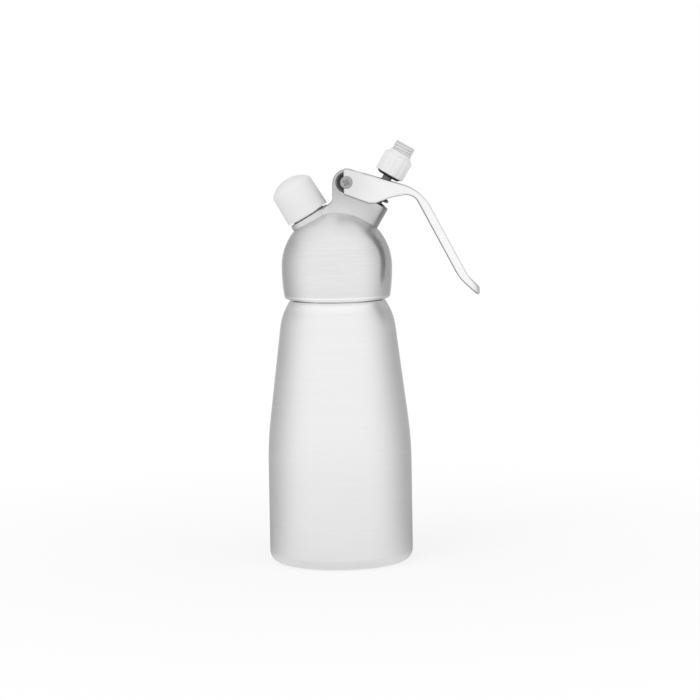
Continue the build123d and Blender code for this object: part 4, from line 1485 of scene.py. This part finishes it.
@dataclass
class Studio:
    """White floor and surroundings with a grey wrap behind the object, sizes in metres.

    A span gives where a change begins and where it ends: shadow, foot and front as distances from the
    object's foot, low as heights, wrap_turn from -1 in front to 1 behind, and top from 0 level to 1 above.
    The wrap darkens towards the back. There its top is paler, what is near the foot is darker, and low_gain
    makes it paler low down straight behind, by a share of what it lost. With wrap_lean it stays bright
    further round on the left.
    """

    floor_reach: float = 6.0
    floor_tone: float = 0.98
    shadow: Span = (0.07, 0.35)
    shadow_share: float = 0.74
    ambient: float = 0.7
    key_place: Point = (-0.75, -1.1, 1.25)
    key_width: float = 1.1
    key_power: float = 6.1
    fill_place: Point = (1.1, -0.9, 0.8)
    fill_width: float = 1.0
    fill_share: float = 0.35
    lamp_aim: Point = (0.0, 0.0, 0.1)
    wrap_radius: float = 0.7
    wrap_hole: float = 0.0335
    wrap_lift: float = 0.0006
    wrap_segments: int = 96
    wrap_step: int = 6
    wrap_tone: float = 0.43
    wrap_turn: Span = (-0.66, 0.84)
    wrap_lean: float = 0.07
    wrap_eye: float = 0.3
    top_tone: float = 0.7
    top: Span = (0.1, 0.5)
    foot_tone: float = 0.34
    foot: Span = (0.06, 0.2)
    low_gain: float = 0.5
    low: Span = (0.1, 0.25)
    front_tone: float = 0.78
    front: Span = (0.04, 0.4)

    def build(self) -> None:
        """Makes the surroundings, the floor, the wrap and the lamps."""
        self.world()
        self.floor()
        self.wrap()
        self.lamp("key_lamp", self.key_place, self.key_width, self.key_power)
        self.lamp("fill_lamp", self.fill_place, self.fill_width, self.key_power * self.fill_share)
        log.info("studio: floor, wrap and lamps")

    @staticmethod
    def shown(board: NodeBoard, plain: bpy.types.Node, look: bpy.types.Node, share: object = 1.0) -> Socket:
        """Mix of a plain shader and the look that camera, gloss and glass see.

        Args:
            board: The nodes.
            plain: Shader for all other rays.
            look: Shader for what is seen.
            share: Share of the look in what is seen.

        Returns:
            The socket that holds the mix.
        """
        path = board.add("ShaderNodeLightPath").outputs
        seen = board.math("MAXIMUM", path["Is Camera Ray"], path["Is Glossy Ray"])
        seen = board.math("MAXIMUM", seen, path["Is Transmission Ray"])
        inputs = {0: board.math("MULTIPLY", seen, share), 1: plain.outputs[0], 2: look.outputs[0]}
        return board.add("ShaderNodeMixShader", inputs).outputs[0]

    def world(self) -> None:
        """Gives the surroundings a white look and a plain level of light."""
        world = bpy.data.worlds.new("studio_white")
        world.use_nodes = True
        bpy.context.scene.world = world
        board = NodeBoard(world.node_tree)
        light = board.add("ShaderNodeBackground", {"Color": grey(1.0), "Strength": self.ambient})
        look = board.add("ShaderNodeBackground", {"Color": grey(1.0), "Strength": 1.0})
        board.show("ShaderNodeOutputWorld", self.shown(board, light, look))

    def floor(self) -> None:
        """Lays a pale floor that keeps the object's shadow."""
        reach = self.floor_reach
        corners = [(x * reach, y * reach, 0) for x, y in ((-1, -1), (1, -1), (1, 1), (-1, 1))]
        mesh = bpy.data.meshes.new("floor")
        mesh.from_pydata(corners, [], [(0, 1, 2, 3)])
        floor = bpy.data.objects.new("floor", mesh)
        bpy.context.scene.collection.objects.link(floor)
        material = new_material("floor_white")
        board = NodeBoard(material.node_tree)
        plain = board.add("ShaderNodeBsdfDiffuse", {"Color": grey(self.floor_tone)})
        white = board.add("ShaderNodeEmission", {"Color": grey(1.0), "Strength": 1.0})
        away = board.measure("LENGTH", board.add("ShaderNodeTexCoord").outputs["Object"])
        clear = board.remap(away, self.shadow, (self.shadow_share, 1.0))
        board.show("ShaderNodeOutputMaterial", self.shown(board, plain, white, clear))
        mesh.materials.append(material)

    def wrap(self) -> None:
        """Sets a round wrap over the object that only gloss shows."""
        outline = [(self.wrap_hole, self.wrap_lift)]
        for angle in range(0, 91, self.wrap_step):
            rise = math.radians(angle)
            height = self.wrap_lift + self.wrap_radius * math.sin(rise)
            outline.append((self.wrap_radius * math.cos(rise), height))
        shape = MeshShape("grey_wrap", PieceAxis.BOTTLE)
        outline = [(radius / MM, height / MM) for radius, height in outline]
        shape.turned(outline, self.wrap_segments, wrap=False)
        card = shape.build()
        for kind in ("camera", "diffuse", "shadow", "transmission"):
            setattr(card, f"visible_{kind}", False)
        material = new_material("wrap_grey")
        board = NodeBoard(material.node_tree)
        glow = board.add("ShaderNodeEmission", {"Color": self.wrap_colour(board), "Strength": 1.0})
        board.show("ShaderNodeOutputMaterial", glow.outputs[0])
        card.data.materials.append(material)

    def wrap_colour(self, board: NodeBoard) -> Socket:
        """Grey of the wrap: white in front, greyer behind, paler above the back, darkest near the foot.

        Args:
            board: The wrap's nodes.

        Returns:
            The socket that holds the colour.
        """
        place = board.add("ShaderNodeTexCoord").outputs["Object"]
        across, deep, up = board.split(place)
        over = board.math("MAXIMUM", board.math("SUBTRACT", up, self.wrap_eye), 0.0)
        aim = board.vector("NORMALIZE", {0: board.join(across, deep, over)})
        aim_across, aim_back, aim_up = board.split(aim)
        back = board.math("ADD", aim_back, board.math("MULTIPLY", aim_across, self.wrap_lean))
        darker = board.remap(back, self.wrap_turn, smooth=True)
        low = board.remap(up, self.low, (self.low_gain, 0.0), smooth=True)
        behind = board.remap(aim_back, (self.wrap_turn[1], 1.0), (0.0, low), smooth=True)
        away = board.measure("LENGTH", place)
        top = board.remap(aim_up, self.top, smooth=True)
        dark = board.blend(top, grey(self.wrap_tone), grey(self.top_tone))
        dark = board.blend(behind, dark, grey(1.0))
        foot = board.remap(away, self.foot, FALL, smooth=True)
        dark = board.blend(foot, dark, grey(self.foot_tone))
        front = board.blend(board.remap(away, self.front), grey(self.front_tone), grey(1.0))
        return board.blend(darker, front, dark)

    def lamp(self, name: str, place: Point, width: float, power: float) -> None:
        """Hangs a broad soft lamp that faces the object.

        Args:
            name: Name of the lamp.
            place: Where it hangs.
            width: Width of its face.
            power: Its power, in watts.
        """
        light = bpy.data.lights.new(name, "AREA")
        light.shape = "DISK"
        light.size = width
        light.energy = power
        lamp = bpy.data.objects.new(name, light)
        lamp.location = place
        lamp.visible_glossy = False
        lamp.rotation_euler = (Vector(self.lamp_aim) - Vector(place)).to_track_quat("-Z", "Y").to_euler()
        bpy.context.scene.collection.objects.link(lamp)


@dataclass
class PhotoCamera:
    """Camera at the photograph's viewing angle, lengths in millimetres and its roll in degrees."""

    distance: float = 1270.0
    height: float = 235.0
    aim: Point = (5.95, 0.0, 107.7)
    lens: float = 129.15
    sensor: float = 36.0
    roll: float = -0.93
    far_end: float = 50000.0

    def build(self) -> None:
        """Places the camera and makes it the scene's own."""
        data = bpy.data.cameras.new("photo_camera")
        data.lens = self.lens
        data.sensor_width = self.sensor
        data.clip_end = self.far_end * MM
        camera = bpy.data.objects.new("photo_camera", data)
        place = Vector((self.aim[0], -self.distance, self.height)) * MM
        facing = (Vector(self.aim) * MM - place).to_track_quat("-Z", "Y")
        camera.location = place
        camera.rotation_mode = "QUATERNION"
        camera.rotation_quaternion = facing @ Quaternion((0, 0, 1), math.radians(self.roll))
        bpy.context.scene.collection.objects.link(camera)
        bpy.context.scene.camera = camera
        log.info("camera: lens %.1f mm at %.0f mm", self.lens, self.distance)


def main() -> None:
    """Builds and dresses the object, then lights it and places the camera."""
    logging.basicConfig(level=logging.INFO, format="%(name)s: %(message)s")
    parts = (Bottle(), Head(), ChargerInlet(), Pivot(), SqueezeLever(), NozzleValve(), NozzleAdapter())
    for part in parts:
        part.build()
        part.dress()
    Studio().build()
    PhotoCamera().build()
    bpy.context.scene.view_settings.view_transform = "Standard"


if __name__ == "__main__":
    main()
